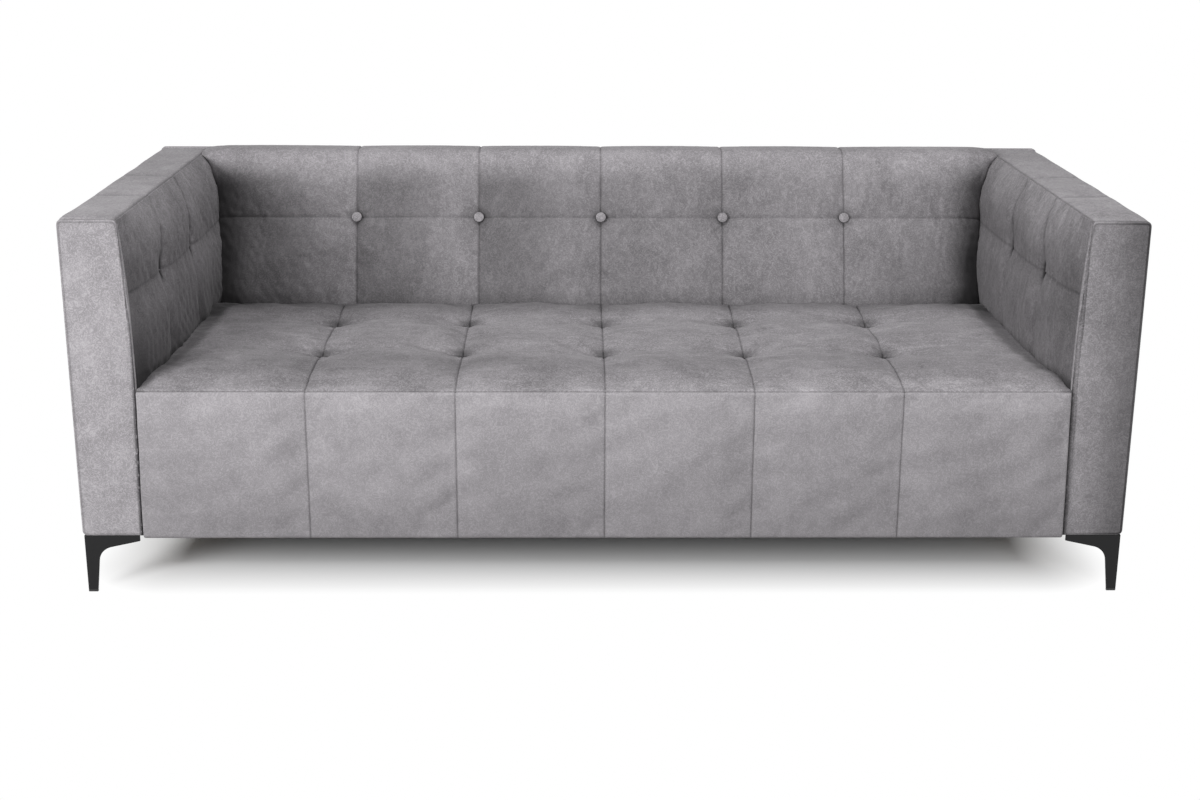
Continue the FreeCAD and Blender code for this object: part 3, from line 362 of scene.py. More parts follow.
def swollen_cover(name, edges, outline_of, rings_of, held_of):
    """A cover carried along X and swelled by the cloth simulation, with its places along X and its outline."""
    x = stations(edges[0], edges[-1], FINE_STEP, edges[1:-1])
    outline = outline_of(1.0)
    rings = rings_of(x, outline)
    loose = outline_of(2.0)
    loose_x = panel_stations(edges, LOOSE_STEP)
    moves = puffed(name, rings_of(loose_x, loose), held_of(loose_x, loose), *COVER_PUFF)
    rings = rings + spread(moves, loose_x, loose[2], x, outline[2])
    return rings, x, outline


# Padded pieces

def panel_lean(z):
    """How far the arm's front panel reaches inward of its board, following the pad behind it, by height."""
    heights = [0.122, 0.20, 0.30, 0.38, 0.45, 0.52, 0.58, 0.64, 0.69, 0.73, 0.766]
    leans = [0.0085, 0.0100, 0.0125, 0.0140, 0.0145, 0.0138, 0.0122, 0.0098, 0.0070, 0.0038, 0.0]
    return np.interp(z, heights, leans)


def arm_seams(z):
    """Places along Y of the two upright seams of an arm's inner pad, which lean from tuft to top."""
    return ARM_TUFTS + (ARM_SEAM_TOPS - ARM_TUFTS) * smooth(ARM_ROW, ARM_TOP, z)[..., None]


def arm_thickness(y, z, seed):
    """How far an arm's inner pad stands in from its board.

    A roll that rises from the top seam as 1 - (1 - t)^5.5, drawn in to the panel at the front by a falling
    exponential and tucked in below the seat, with folds at the seams, a funnel at each tuft and wrinkles."""
    drop = np.clip((ARM_TOP - z) / ARM_ROLL_DROP, 0, 1)
    body = ARM_PAD_DEPTH * (1 - (1 - drop) ** ARM_ROLL_POWER)
    tuck = smooth(TUCK_LOW, TUCK_HIGH, z)
    body = ARM_PAD_TUCK + (body - ARM_PAD_TUCK) * tuck
    inside = y - ARM_PAD_FRONT
    body = panel_lean(z) + (body - panel_lean(z)) * (1 - np.exp(-np.maximum(inside - 0.008, 0) / 0.17))
    body = body + 0.0012 - 0.0030 * (1 - smooth(0.002, 0.010, inside))
    upright = np.abs(y[..., None] - arm_seams(z)).min(axis=-1)
    edge = smooth(0, 0.02, ARM_TOP - z)
    above = smooth(ARM_ROW - 0.02, ARM_ROW + 0.03, z)
    sewn = 0.0026 * crease(upright, 0.0022) + 0.0040 * hill(upright, 0.028)
    rise = body - tuck * edge * (0.25 + 0.75 * above) * sewn
    rise = rise - tuck * (0.0018 * crease(z - ARM_ROW, 0.0018) + 0.0020 * hill(z - ARM_ROW, 0.035))
    for number, tuft_y in enumerate(ARM_TUFTS):
        away = np.hypot((y - tuft_y) / 0.8, (z - ARM_ROW) / 1.3)
        angle = np.arctan2(z - ARM_ROW, y - tuft_y)
        rise = rise - 0.0100 * crease(away, 0.0080) - 0.0040 * hill(away, 0.032)
        rise = rise + 0.0007 * np.cos(7 * angle + seed + number) * hill(away - 0.024, 0.018)
    uneven = 0.0005 * ripple(y, z, seed, (0.02, 0.07), 0.35)
    uneven = uneven + 0.0010 * ripple(y, z, seed + 1, (0.12, 0.3), 0.9, 1.2)
    return np.maximum(rise + uneven * tuck * edge * smooth(0.010, 0.060, inside), 0.0006)


def arm_rings(y, z, rear_z, depth, rear_x):
    """Closed rings of an arm's inner pad along Y: a face a depth in from the board, and a flat rear."""
    ring_x = np.concatenate([ARM_INSIDE - depth, np.full((len(y), len(rear_z)), rear_x)], axis=1)
    ring_y = np.broadcast_to(y[:, None], ring_x.shape)
    ring_z = np.broadcast_to(np.concatenate([z, rear_z]), ring_x.shape)
    return np.stack([ring_x, ring_y, ring_z], axis=-1)


def arm_puff(y, z, seed):
    """How far the cloth simulation swells an arm's inner pad, worked out on a coarse grid held at the seams."""
    loose_y = panel_stations([ARM_PAD_FRONT, *ARM_TUFTS, ARM_PAD_REAR], ARM_LOOSE_STEP)
    loose_z = panel_stations([TUCK_LOW, ARM_ROW, ARM_TOP - 0.001], ARM_LOOSE_STEP)
    span = np.ones((len(loose_y), len(loose_z)))
    depth = arm_thickness(loose_y[:, None] * span, loose_z * span, seed)
    rings = arm_rings(loose_y, loose_z, loose_z[::-6], depth, ARM_INSIDE + 0.004)
    tufts = np.hypot(from_line(loose_y, ARM_TUFTS)[:, None], loose_z - ARM_ROW) < 0.014
    ends = from_line(loose_y, [ARM_PAD_FRONT, ARM_PAD_REAR]) < 0.004
    edges = ends[:, None] | (loose_z > ARM_TOP - 0.006)
    sewn = (np.abs(loose_z - ARM_ROW) < 0.003) | (from_line(loose_y, ARM_TUFTS) < 0.003)[:, None]
    held = np.ones(rings.shape[:2], bool)
    held[:, :len(loose_z)] = tufts | edges | sewn | (loose_z < 0.41)
    moves = puffed("arm_trial", rings, held, *ARM_PUFF)
    inward = -moves[:, :len(loose_z), :1]
    inward = spread(inward, loose_y, loose_z, y, z)[..., 0]
    return inward * smooth(0.40, 0.42, z) * smooth(0.008, 0.050, y - ARM_PAD_FRONT)[:, None]


def arm_cushion(name, side, seed):
    """Inner pad of an arm: for each place along Y a closed ring, its face from the thickness, its rear flat."""
    y = stations(ARM_PAD_FRONT, ARM_PAD_REAR, ARM_FINE_STEP, ARM_TUFTS)
    z = np.concatenate([np.arange(ARM_FOOT + 0.001, TUCK_LOW, 0.02), np.arange(0.39, ARM_TOP - 0.012, 0.0042),
                        ARM_TOP - np.array([0.010, 0.008, 0.006, 0.0045, 0.003, 0.002, 0.001, 0.0004])])
    rear_z = np.linspace(z[-1], z[0], 12)
    end = (ARM_PAD_REAR - y) * 0.5
    span = np.ones((len(y), len(z)))
    depth = arm_thickness(y[:, None] * span, z * span, seed)
    depth = depth + arm_puff(y, z, seed)
    depth = depth - np.minimum(quarter_round(end, 0.004)[:, None], depth * 0.8)
    # Painted shade over the pad below its top roll, and deeper at the foot where it meets the seat
    low = 0.42 * (1 - smooth(0.64, 0.80, z)) + 0.40 * (1 - smooth(0.430, 0.462, z))
    if side < 0:
        # The left pad gets deeper painted shade towards the seat than the right one
        low = low + 0.40 * (1 - smooth(0.44, 0.60, z))
    # Painted shade towards the front of the pad
    fore = 0.14 * (1 - smooth(0.02, 0.14, y - ARM_PAD_FRONT))
    # The tuft row's seam, the upright seams and the tuft slits darker: partly compressed pile, partly painted
    # shade
    marks = 0.36 * crease(z - ARM_ROW, 0.0016) + low + fore[:, None]
    for seam_y, tuft_y in zip(arm_seams(z).T, ARM_TUFTS):
        marks = marks + 0.46 * crease(y[:, None] - seam_y, 0.0040) * smooth(0.60, 0.63, z)
        slit = np.hypot((y - tuft_y)[:, None] / 0.7, (z - ARM_ROW) / 1.7)
        marks = marks + 0.95 * hill(slit, 0.010)
    pressed_and_shade = np.concatenate([marks, np.zeros((len(y), len(rear_z)))], axis=1)
    rings = arm_rings(y, z, rear_z, depth, ARM_INSIDE)
    rings[..., 0] *= side
    return closed_form(name, rings, pressed_and_shade)


def corner_fold(across, along, ahead):
    """Fold through a tuft, a little ahead of its middle and curved like the corners of an eye."""
    return crease(along + ahead - 7 * across * across, 0.0035)


def tuft(across, along, seed):
    """A pulled tuft: a slit of a funnel in a shallow bowl, side folds like an eye's corners, and pleats."""
    away = np.hypot(across / 1.6, along)
    angle = np.arctan2(along, across)
    funnel = 0.0150 * crease(away, 0.0085) + 0.0070 * hill(away, 0.040)
    corners = 0.0055 * corner_fold(across, along, 0.003) * hill(across, 0.040)
    pleats = 0.0010 * np.cos(9 * angle + seed) * hill(away - 0.030, 0.018)
    return funnel + corners - pleats


def seat_pressed_and_shade(x, y, up):
    """How dark the seat's pile is made: compressed pile in the tufts, their folds and the seams, together with
    painted shade there and behind each tuft, across the top, towards the rear and left, and by the arms.
    """
    # Seams: partly compressed pile, partly painted shade
    marks = 0.34 * crease(from_line(x, SEAT_SEAMS), 0.0010) * np.ones_like(y)
    # Painted shade: a little back from the front edge, a band over the front row, deep towards the rear edge,
    # and more towards the left
    shaded = 0.12 * smooth(-0.445, -0.400, y) + 0.15 * hill(y + 0.305, 0.070) + 0.60 * smooth(0.06, 0.195, y)
    shaded = shaded + 0.11 * smooth(0.25, -0.45, x)
    # Painted shade at the seat's ends by the arms, deeper to the rear, and a dark line where it meets the arms
    ends = smooth(0.62, COVER_HALF, np.abs(x)) * smooth(-0.10, 0.20, y)
    contact = smooth(0.030, 0.0, COVER_HALF - np.abs(x) - 0.030 * smooth(-0.44, -0.10, y))
    marks = marks + up * (shaded + 0.26 * ends + 0.45 * contact)
    # Each tuft: compressed pile in its slit, painted shade behind it, and corner folds that are partly
    # compressed pile, partly painted shade
    for tuft_y in SEAT_ROWS:
        for tuft_x in SEAT_SEAMS:
            across, along = x - tuft_x, y - tuft_y
            pit = 1.0 * hill(np.hypot(across / 2.2, along), 0.0085)
            behind = 0.55 * hill(np.hypot(across / 1.5, along - 0.014), 0.017)
            wings = 0.62 * corner_fold(across, along, 0.004) * hill(across, 0.030)
            marks = marks + up * np.maximum(np.maximum(pit, behind), wings)
    return marks


def drawn_in(rings, beside, start):
    """Rings whose ends are drawn in to the arms' pads, from the start outward."""
    x = rings[..., 0]
    rings[..., 0] = x - np.sign(x) * beside * smooth(start, COVER_HALF, np.abs(x))
    return rings


def seat_rise(x, y, z, facing):
    """How far the seat cover stands out from its block.

    On top each panel swells across its seams and, lower, along its rows; at the front it swells across
    and up. Seams are sharp folds with small puckers, and the tufts are taken away."""
    up, out = facing
    edges = [-COVER_HALF - 0.04, *SEAT_SEAMS, COVER_HALF + 0.04]
    across = swell(panel_share(x, edges), 2.5)
    rows = panel_share(y, [SEAT_FRONT_TOP - 0.01, *SEAT_ROWS, 0.26])
    along = 0.5 - 0.5 * np.cos(2 * math.pi * rows)
    rising = smooth(0.0, 0.07, y - SEAT_FRONT_TOP)
    seam = from_line(x, SEAT_SEAMS)
    lip = 1 - crease(seam, 0.010)
    top = (0.0058 + 0.0036 * across * (0.7 + 0.3 * along) + 0.0030 * along + 0.0012 * lip) * rising
    for row, tuft_y in enumerate(SEAT_ROWS):
        for column, tuft_x in enumerate(SEAT_SEAMS):
            top = top - tuft(x - tuft_x, y - tuft_y, 1.7 * column + row)
    top = top + 0.0003 * ripple(x, y, 11, (0.025, 0.08), math.pi / 2, 0.5) * rising
    top = top + 0.0010 * ripple(x, y, 12, (0.10, 0.25), 1.2, 1.0) * rising
    height = panel_share(z, [0.116, 0.4285])
    front = (0.0036 * across + 0.0010 * lip) * swell(height, 3.2)
    front = front + 0.0009 * ripple(x, z, 13, (0.06, 0.2), 0.6, 1.0) * swell(height, 4)
    pucker = 0.00045 * stitches(y + z, 0.012, 0.04) * crease(seam, 0.009)
    fold = 0.0026 * crease(seam, 0.0014)
    return up * (top - fold + pucker) + out * (front - fold + pucker)


def seat_outline(coarse):
    """Side outline of the seat block in Y and Z."""
    front, rear = -0.456, 0.205
    corners = [(rear, 0.1205), (front, 0.1185), (front, 0.4290), (rear, 0.4390)]
    radii = [0.006, 0.008, 0.009, 0.030]
    steps = np.array([0.03, 0.0055, 0.0052, 0.03])
    return rounded_loop(corners, radii, steps * coarse)


def seat_rings(x, outline):
    """Rings of the seat cover, fitted between the arms' inner pads."""
    loop, normals, gone, marks = outline
    up = smooth(*SEAT_TURN, normals[:, 1])
    out = smooth(*SEAT_TURN, -normals[:, 0])
    rise = seat_rise(x[:, None], loop[:, 0], loop[:, 1], (up, out))
    front_seam = gone - marks[2]
    rise = rise - 0.0022 * crease(front_seam, 0.0018) + 0.0012 * hill(np.abs(front_seam) - 0.008, 0.005)
    nick = stitches(x, 0.011, 0.05)
    rise = rise + 0.0004 * nick[:, None] * crease(front_seam, 0.008)
    rise = rise - quarter_round(COVER_HALF - np.abs(x), 0.003)[:, None]
    rings = along_x(x, loop, normals, rise)
    y = np.clip(rings[..., 1], ARM_PAD_FRONT + 0.001, ARM_PAD_REAR)
    height = np.clip(rings[..., 2], ARM_FOOT, 0.5)
    beside = np.maximum(arm_thickness(y, height, RIGHT_SEED), panel_lean(height))
    beside = beside - (ARM_INSIDE - COVER_HALF) + 0.0005
    return drawn_in(rings, np.maximum(beside, 0), 0.70)


def seat_held(x, outline):
    """Where the seat's cover can't move: at its ends, seams and tufts, and where it isn't seen."""
    loop, normals, gone, marks = outline
    away = from_line(x, SEAT_EDGES)[:, None] * np.ones(len(loop))
    for tuft_y in SEAT_ROWS:
        reach = np.hypot(from_line(x, SEAT_SEAMS)[:, None], loop[:, 0] - tuft_y)
        away = np.minimum(away, np.maximum(reach - 0.016, 0))
    hidden = (normals[:, 1] < -0.3) | (normals[:, 0] > 0.3) | (np.abs(gone - marks[2]) < 0.004)
    return (away < 0.002) | hidden


def seat_cushion():
    """Tufted seat cover: its outline carried along X, swelled by seat_rise and then by the cloth simulation."""
    rings, x, outline = swollen_cover("seat_trial", SEAT_EDGES, seat_outline, seat_rings, seat_held)
    loop, normals, gone, marks = outline
    on_front = gone < marks[2]
    pressed_and_shade = seat_pressed_and_shade(x[:, None], loop[:, 0], smooth(*SEAT_TURN, normals[:, 1]))
    # Painted shade: the front face darker towards the bottom
    pressed_and_shade = pressed_and_shade + on_front * 0.20 * (1 - smooth(0.14, 0.42, loop[:, 1]))
    # The front seam darker: partly compressed pile, partly painted shade
    pressed_and_shade = pressed_and_shade + 0.42 * crease(gone - marks[2], 0.0011)
    return closed_form("seat_cushion", rings, pressed_and_shade, on_front.astype(int))


def back_crest(gone, row):
    """Goes from 0 to 1 where the back pad rolls over into its crest, above the button row."""
    return smooth(row + 0.07, row + 0.15, gone)


def back_rise(x, gone, marks):
    """How far the back cover stands out: panels that swell across and up, folds at the seams, button bowls."""
    sit, row, roll = marks[2], marks[3], marks[5]
    edges = [-COVER_HALF - 0.05, *BACK_SEAMS, COVER_HALF + 0.05]
    across = swell(panel_share(x, edges), 2.4)
    rows = swell(panel_share(gone, [sit - 0.02, row, roll + 0.03]), 2.2)
    seen = smooth(sit - 0.13, sit - 0.04, gone) * (1 - smooth(roll - 0.01, roll + 0.03, gone))
    crown = 0.0105 - 0.0080 * back_crest(gone, row)
    plain = smooth(row + 0.08, row + 0.13, gone)
    rise = seen * (0.0025 + crown * across * rows + 0.0025 * rows)
    seam = from_line(x, BACK_SEAMS)
    pucker = 0.0004 * stitches(gone, 0.012, 0.05) * crease(seam, 0.009)
    rise = rise + seen * (pucker * (1 - plain) - 0.0030 * crease(seam, 0.0016))
    stitch = 0.0004 * stitches(x, 0.012, 0.06) * crease(gone - row, 0.009)
    rise = rise + stitch - 0.0020 * crease(gone - row, 0.0014)
    for number, button_x in enumerate(BACK_SEAMS):
        away = np.hypot(x - button_x, gone - row)
        angle = np.arctan2(gone - row, x - button_x)
        rise = rise - 0.0055 * hill(away, 0.020) - 0.0035 * hill(away, 0.055)
        rise = rise + 0.0008 * np.cos(10 * angle + number) * hill(away - 0.030, 0.016)
    below = seen * (1 - 0.9 * plain)
    rise = rise + below * 0.0006 * ripple(x, gone, 21, (0.02, 0.07), 0.3, 0.6)
    return rise + below * 0.0011 * ripple(x, gone, 22, (0.12, 0.3), 0.8, 1.2)


def back_outline(coarse):
    """Side outline of the back pad in Y and Z."""
    front, foot, hem = 0.216, 0.302, 0.753
    corners = [(BACK_REAR, foot), (front, foot), (front, 0.440), BACK_ROW,
               (0.346, 0.7745), (COVER_REAR, 0.7730), (COVER_REAR, hem), (BACK_REAR, hem)]
    radii = [0.004, 0.015, 0.20, 0.5, 0.034, 0.030, 0.003, 0.003]
    steps = np.array([0.04, 0.012, 0.0052, 0.0052, 0.0052, 0.02, 0.04, 0.05])
    return rounded_loop(corners, radii, steps * coarse)


def back_rings(x, outline):
    """Rings of the back pad, its ends fitted to the arms' inner pads."""
    loop, normals, gone, marks = outline
    rise = back_rise(x[:, None], gone, marks)
    ahead = smooth(-0.1, 0.35, 0.8 * normals[:, 1] - normals[:, 0])
    ahead = ahead * (1 - 0.6 * smooth(0.3, 0.9, normals[:, 1]))
    rise = rise - 0.3 * quarter_round(COVER_HALF - np.abs(x), 0.065)[:, None] * ahead
    rings = along_x(x, loop, normals, rise)
    y = np.clip(rings[..., 1], ARM_PAD_FRONT, ARM_PAD_REAR)
    beside = arm_thickness(y, np.clip(rings[..., 2], 0.30, ARM_TOP), RIGHT_SEED) + 0.0015
    beside = beside * (1 - smooth(ARM_PAD_REAR - 0.01, ARM_PAD_REAR + 0.03, rings[..., 1]))
    beside = np.where(rings[..., 2] > ARM_TOP, 0.0, beside)
    return drawn_in(rings, beside, 0.74)


def back_held(x, outline):
    """Where the back's cover can't move: at its ends and seams, and where it isn't seen."""
    gone, marks = outline[2:]
    away = np.minimum(from_line(x, BACK_EDGES)[:, None], np.abs(gone - marks[3]))
    return (away < 0.0055) | (gone < marks[2] - 0.10) | (gone > marks[4] - 0.02)


def back_cushion():
    """Buttoned back pad: its side outline carried along X, swelled by back_rise and the cloth simulation."""
    rings, x, outline = swollen_cover("back_trial", BACK_EDGES, back_outline, back_rings, back_held)
    gone, marks = outline[2:]
    row = marks[3]
    # Seams, the button row and the button bowls darker: partly compressed pile, partly painted shade
    pressed_and_shade = 0.30 * crease(from_line(x, BACK_SEAMS), 0.0015)[:, None]
    pressed_and_shade = pressed_and_shade + 0.16 * crease(gone - row, 0.0012)
    for button_x in BACK_SEAMS:
        away = np.hypot((x - button_x)[:, None], gone - row)
        pressed_and_shade = pressed_and_shade + 0.45 * hill(away, 0.018)
    # Painted shade at the ends beside the arms, deeper on the right
    ends = (smooth(0.15, 0.0, COVER_HALF - np.abs(x)) * np.where(x > 0, 0.64, 0.34))[:, None]
    crest = back_crest(gone, row)
    # Painted shade at the foot of the back, where it meets the seat
    foot = smooth(marks[2] + 0.045, marks[2] - 0.01, gone)
    share = panel_share(x, BACK_EDGES)
    shaded = (smooth(0.85, 0.35, share) * smooth(0.15, -0.30, x) + 0.5 * smooth(-0.55, -0.75, x))[:, None]
    shaded_right = smooth(0.50, 0.80, x)[:, None] * (1 - smooth(row - 0.12, row + 0.02, gone))
    # Painted shade over the face below the crest, more over the left panels and the middle; the crest is left
    # lighter
    face = 0.22 + 0.27 * shaded + 0.11 * hill(x, 0.32)[:, None]
    pressed_and_shade = pressed_and_shade + face * (1 - crest) + ends * (1 - 0.7 * crest) + 0.20 * shaded_right + 0.16 * foot
    return closed_form("back_cushion", rings, pressed_and_shade)


def facing(name, x_span, z_span, face_y, rear_y, corner, edge, crown, seed, lean=0, side_shade=0):
    """Flat upholstered panel: a grid on a rounded rectangle, rolled back at its edge and barely domed.

    The depth follows the distance d to the rounded rectangle's edge; the rear is a flat fan. With lean 1 or -1
    the panel widens inward on the left or right side, and the last argument paints shade on its pile towards
    the other side."""
    middle = np.array([sum(x_span) / 2, sum(z_span) / 2])
    half = np.array([x_span[1] - x_span[0], z_span[1] - z_span[0]]) / 2
    straight = (half - corner)[:, None, None]
    close = edge * np.array([0, 0.06, 0.16, 0.32, 0.55, 0.8, 1.1, 1.6, 2.4])
    sides = []
    for side in half:
        inner = side - 3.4 * edge
        even = np.linspace(-inner, inner, int(2 * inner / 0.009) + 2)
        sides.append(np.concatenate([-side + close, even, side - close[::-1]]))
    flat = np.stack(np.meshgrid(*sides, indexing="ij"))
    over = np.maximum(np.abs(flat) - straight, 0)
    reach = np.maximum(np.hypot(*over), 1e-9)
    shrink = np.where((over > 0).all(axis=0), over.max(axis=0) / reach, 1)
    flat = np.sign(flat) * (np.abs(flat) - over * (1 - shrink))
    x, z = flat
    apart = np.abs(flat) - straight
    inset = corner - np.hypot(*np.maximum(apart, 0)) - np.minimum(apart.max(axis=0), 0)
    inset = np.maximum(inset, 0)
    forward = math.copysign(1, face_y - rear_y)
    dome = crown * (1 - (1 - np.clip(inset / min(half), 0, 1)) ** 3)
    pucker = stitches(x + z, 0.013, 0.05) * crease(inset - edge, 0.005)
    waves = ripple(x, z, seed, (0.10, 0.35), 0.7, 1.2) * smooth(0.0, 0.03, inset)
    rim = 0.0006 * hill(inset - 2.2 * edge, edge)
    lift = dome - crown - quarter_round(inset, edge) - rim + 0.0003 * pucker + 0.0006 * waves
    share = np.clip(0.5 - lean * x / (2 * half[0]), 0, 1)
    widened = x - lean * panel_lean(middle[1] + z) * share
    front = np.stack([middle[0] + widened, face_y + forward * lift, middle[1] + z], axis=-1)
    here = np.arange(x.size).reshape(x.shape)
    quads = grid_quads(*x.shape).reshape(-1, 4)
    rim_line = np.concatenate([here[0, :-1], here[:-1, -1], here[-1, :0:-1], here[:0:-1, 0]])
    rear = front.reshape(-1, 3)[rim_line].copy()
    rear[:, 1] = rear_y
    behind = x.size + np.arange(len(rim_line))
    wall = np.stack([np.roll(rim_line, -1), rim_line, behind, np.roll(behind, -1)], axis=-1)
    pole = np.full(len(behind), x.size + len(behind))
    fan = np.stack([np.roll(behind, -1), behind, pole], axis=-1)
    points = np.concatenate([front.reshape(-1, 3), rear, rear.mean(axis=0)[None]])
    if forward < 0:
        quads, wall, fan = quads[:, ::-1], wall[:, ::-1], fan[:, ::-1]
    piece = skin(name, points, quads.tolist() + wall.tolist() + fan.tolist())
    # Painted shade on the pile, deeper towards the outer side and near the top and bottom; the rear gets it
    # evenly
    pressed_and_shade = side_shade * (0.16 + 0.84 * smooth(0.10, 0.95, 1 - share)) * (1 + 0.25 * smooth(0.1, 0.35, np.abs(z)))
    # A dark line along the rolled edge: partly compressed pile, partly painted shade
    pressed_and_shade = pressed_and_shade + 0.40 * hill(inset - edge, 0.0014)
    mark_pressed_and_shade(piece, np.concatenate([pressed_and_shade.ravel(), np.full(len(behind) + 1, side_shade)]))
    return piece


def arm_outer_fabric(name, side, seed):
    """Fabric over an arm's top and outer side: an open outline in X and Z carried along Y, domed on top."""
    gap, hem = 0.0005, 0.745
    corners = [(ARM_INSIDE + gap, hem), (ARM_INSIDE + gap, ARM_TOP), (ARM_OUTSIDE, ARM_TOP),
               (ARM_OUTSIDE, ARM_FOOT + gap), (ARM_OUTSIDE - 0.05, ARM_FOOT + gap), (1.0, hem)]
    loop, normals, gone, marks = rounded_loop(corners, [0.001, 0.006, 0.011, 0.004, 0.001, 0.001],
                                              [0.004, 0.005, 0.011, 0.02, 0.05, 0.05])
    kept = (gone >= marks[0]) & (gone <= marks[3])
    loop, normals, gone = loop[kept], normals[kept], gone[kept]
    y = stations(PANEL_REAR + gap, COVER_REAR - gap, 0.008, ARM_SEAM_TOPS)
    low_side, over = smooth(0.5, 0.98, normals).T
    wide = panel_share(loop[:, 0], [ARM_INSIDE, ARM_OUTSIDE])
    upright = from_line(y, ARM_SEAM_TOPS)[:, None]
    share = panel_share(y, [PANEL_REAR - 0.02, *ARM_SEAM_TOPS, COVER_REAR + 0.02])[:, None]
    rise = over * (0.0012 + 0.0022 * swell(wide, 2.4) * (0.5 + 0.5 * swell(share, 2.6)))
    rise = rise - 0.0036 * over * crease(upright, 0.006) * (1 - wide ** 2)
    rise = rise - 0.0011 * crease(gone - marks[1], 0.0025) - 0.0010 * crease(gone - marks[2], 0.0025)
    waves = ripple(y[:, None], loop[:, 1] + loop[:, 0], seed, (0.12, 0.4), 0.8, 1.2)
    rise = rise + waves * (0.0005 * over + 0.0008 * low_side)
    rise = rise - 0.0025 * over * (crease(y - PANEL_REAR, 0.004) + crease(COVER_REAR - y, 0.004))[:, None]
    # Carried along Y, so the first two axes change places
    grid = along_x(y, loop, normals, rise)[..., [1, 0, 2]]
    grid[..., 0] *= side
    # Seams and the top inner edge darker: partly compressed pile, partly painted shade
    pressed_and_shade = 0.38 * over * crease(upright, 0.0050) + 0.35 * crease(gone - marks[1], 0.0016)
    turned = slice(None) if side > 0 else slice(None, None, -1)
    return open_form(name, grid[:, turned], pressed_and_shade[:, turned], 0.005)


def covered_buttons():
    """Five fabric buttons: a domed outline with a rim, turned about an axis that leans with the cushion."""
    millimetres = [(0.4, 4.6), (3.0, 4.5), (5.8, 4.1), (8.0, 3.5), (9.2, 3.0), (9.7, 2.7), (10.1, 2.75),
                   (10.8, 2.6), (11.3, 1.9), (11.5, 0.8), (11.3, -0.6), (10.2, -2.0), (6.0, -3.2), (0.4, -3.6)]
    outline = np.array(millimetres) / 1000
    angles = np.linspace(0, 2 * math.pi, 48, endpoint=False)
    across = outline[:, :1] * np.cos(angles)
    upward = outline[:, :1] * np.sin(angles)
    out = np.broadcast_to(outline[:, 1:], across.shape)
    axis = np.array([-math.cos(BUTTON_TILT), math.sin(BUTTON_TILT)])
    rise = np.array([math.sin(BUTTON_TILT), math.cos(BUTTON_TILT)])
    button = np.stack([across, axis[0] * out + rise[0] * upward, axis[1] * out + rise[1] * upward], axis=-1)
    return closed_forms("back_covered_buttons", [button + np.array([x, *BACK_ROW]) for x in BACK_SEAMS])


def block(name, outline, half_width, radius, step):
    """Plain cut foam or felt: an outline in Y and Z carried along X, with softened edges."""
    loop, normals, _, _ = rounded_loop(outline, [radius] * len(outline), [step] * len(outline))
    even = np.linspace(-half_width, half_width, int(2 * half_width / step))
    close = radius * np.array([0.1, 0.3, 0.6, 1])
    x = np.unique(np.concatenate([even, -half_width + close, half_width - close]))
    rise = -0.8 * quarter_round(half_width - np.abs(x), radius)[:, None] * np.ones(len(loop))
    return closed_form(name, along_x(x, loop, normals, rise))


def dust_cloth():
    """Thin cloth under the seat: flat but for a faint sag, with a window round the support leg's plate."""
    low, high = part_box("dust_cover")
    window = np.array([[-0.042, 0.042], [-0.102, -0.018]])
    x = np.unique(np.concatenate([np.linspace(low.x, high.x, 60), window[0]]))
    y = np.unique(np.concatenate([np.linspace(low.y, high.y, 34), window[1]]))
    width, length = high.x - low.x, high.y - low.y
    share_x = (x - low.x) / width
    share_y = (y - low.y) / length
    sag = 0.0006 * np.sin(math.pi * share_x)[:, None] * np.sin(math.pi * share_y)
    level = high.z - 0.0008 - sag
    grid = np.stack([*np.meshgrid(x, y, indexing="ij"), level], axis=-1)
    quads = grid_quads(*sag.shape)
    middles = [(places[:-1] + places[1:]) / 2 for places in (x, y)]
    open_x, open_y = [(middle > start) & (middle < end) for middle, (start, end) in zip(middles, window)]
    quads = quads[~(open_x[:, None] & open_y)]
    used = np.unique(quads)
    number = np.full(sag.size, -1)
    number[used] = np.arange(len(used))
    cloth = skin("dust_cloth", grid.reshape(-1, 3)[used], number[quads].tolist())
    cut_out = (window[0, 1] - window[0, 0]) * (window[1, 1] - window[1, 0])
    return cloth, (width, length), width * length - cut_out


def webbing_straps():
    """Five woven straps across the back frame: thin closed bands whose edges are bound a little thicker."""
    low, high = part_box("back_webbing")
    width, pitch = 0.060, 0.100
    x = np.linspace(low.x, high.x, 120)
    across = np.linspace(-0.5, 0.5, 13)
    thick = 0.0007 + 0.0002 * np.abs(2 * across) ** 6
    straps = []
    for number in range(5):
        middle = low.z + width / 2 + number * pitch
        front, rear = [np.stack([(low.y + high.y) / 2 + way * thick, middle + across * width], axis=-1)
                       for way in (-1, 1)]
        loop = np.concatenate([front, rear[::-1]])
        straps.append(along_x(x, loop, np.zeros_like(loop), np.zeros((len(x), len(loop)))))
    return closed_forms("back_webbing_straps", straps)


# Materials

def fill(tree, made, inputs):
    """Gives each input of a node its value, or a link where an output is given."""
    for key, value in inputs.items():
        if isinstance(value, bpy.types.NodeSocket):
            tree.links.new(value, made.inputs[key])
        else:
            made.inputs[key].default_value = value


def node(tree, kind, inputs=None, **settings):
    """Adds a node with its settings and inputs."""
    made = tree.nodes.new(kind)
    for key, value in settings.items():
        setattr(made, key, value)
    fill(tree, made, inputs or {})
    return made


def plain_math(tree, operation, *values):
    """Result of one sum on values or outputs."""
    return node(tree, "ShaderNodeMath", dict(enumerate(values)), operation=operation).outputs[0]


def vector_math(tree, operation, *values):
    """Result of one sum on vectors, which for a length is a plain value."""
    made = node(tree, "ShaderNodeVectorMath", dict(enumerate(values)), operation=operation)
    return made.outputs["Value" if operation == "LENGTH" else "Vector"]


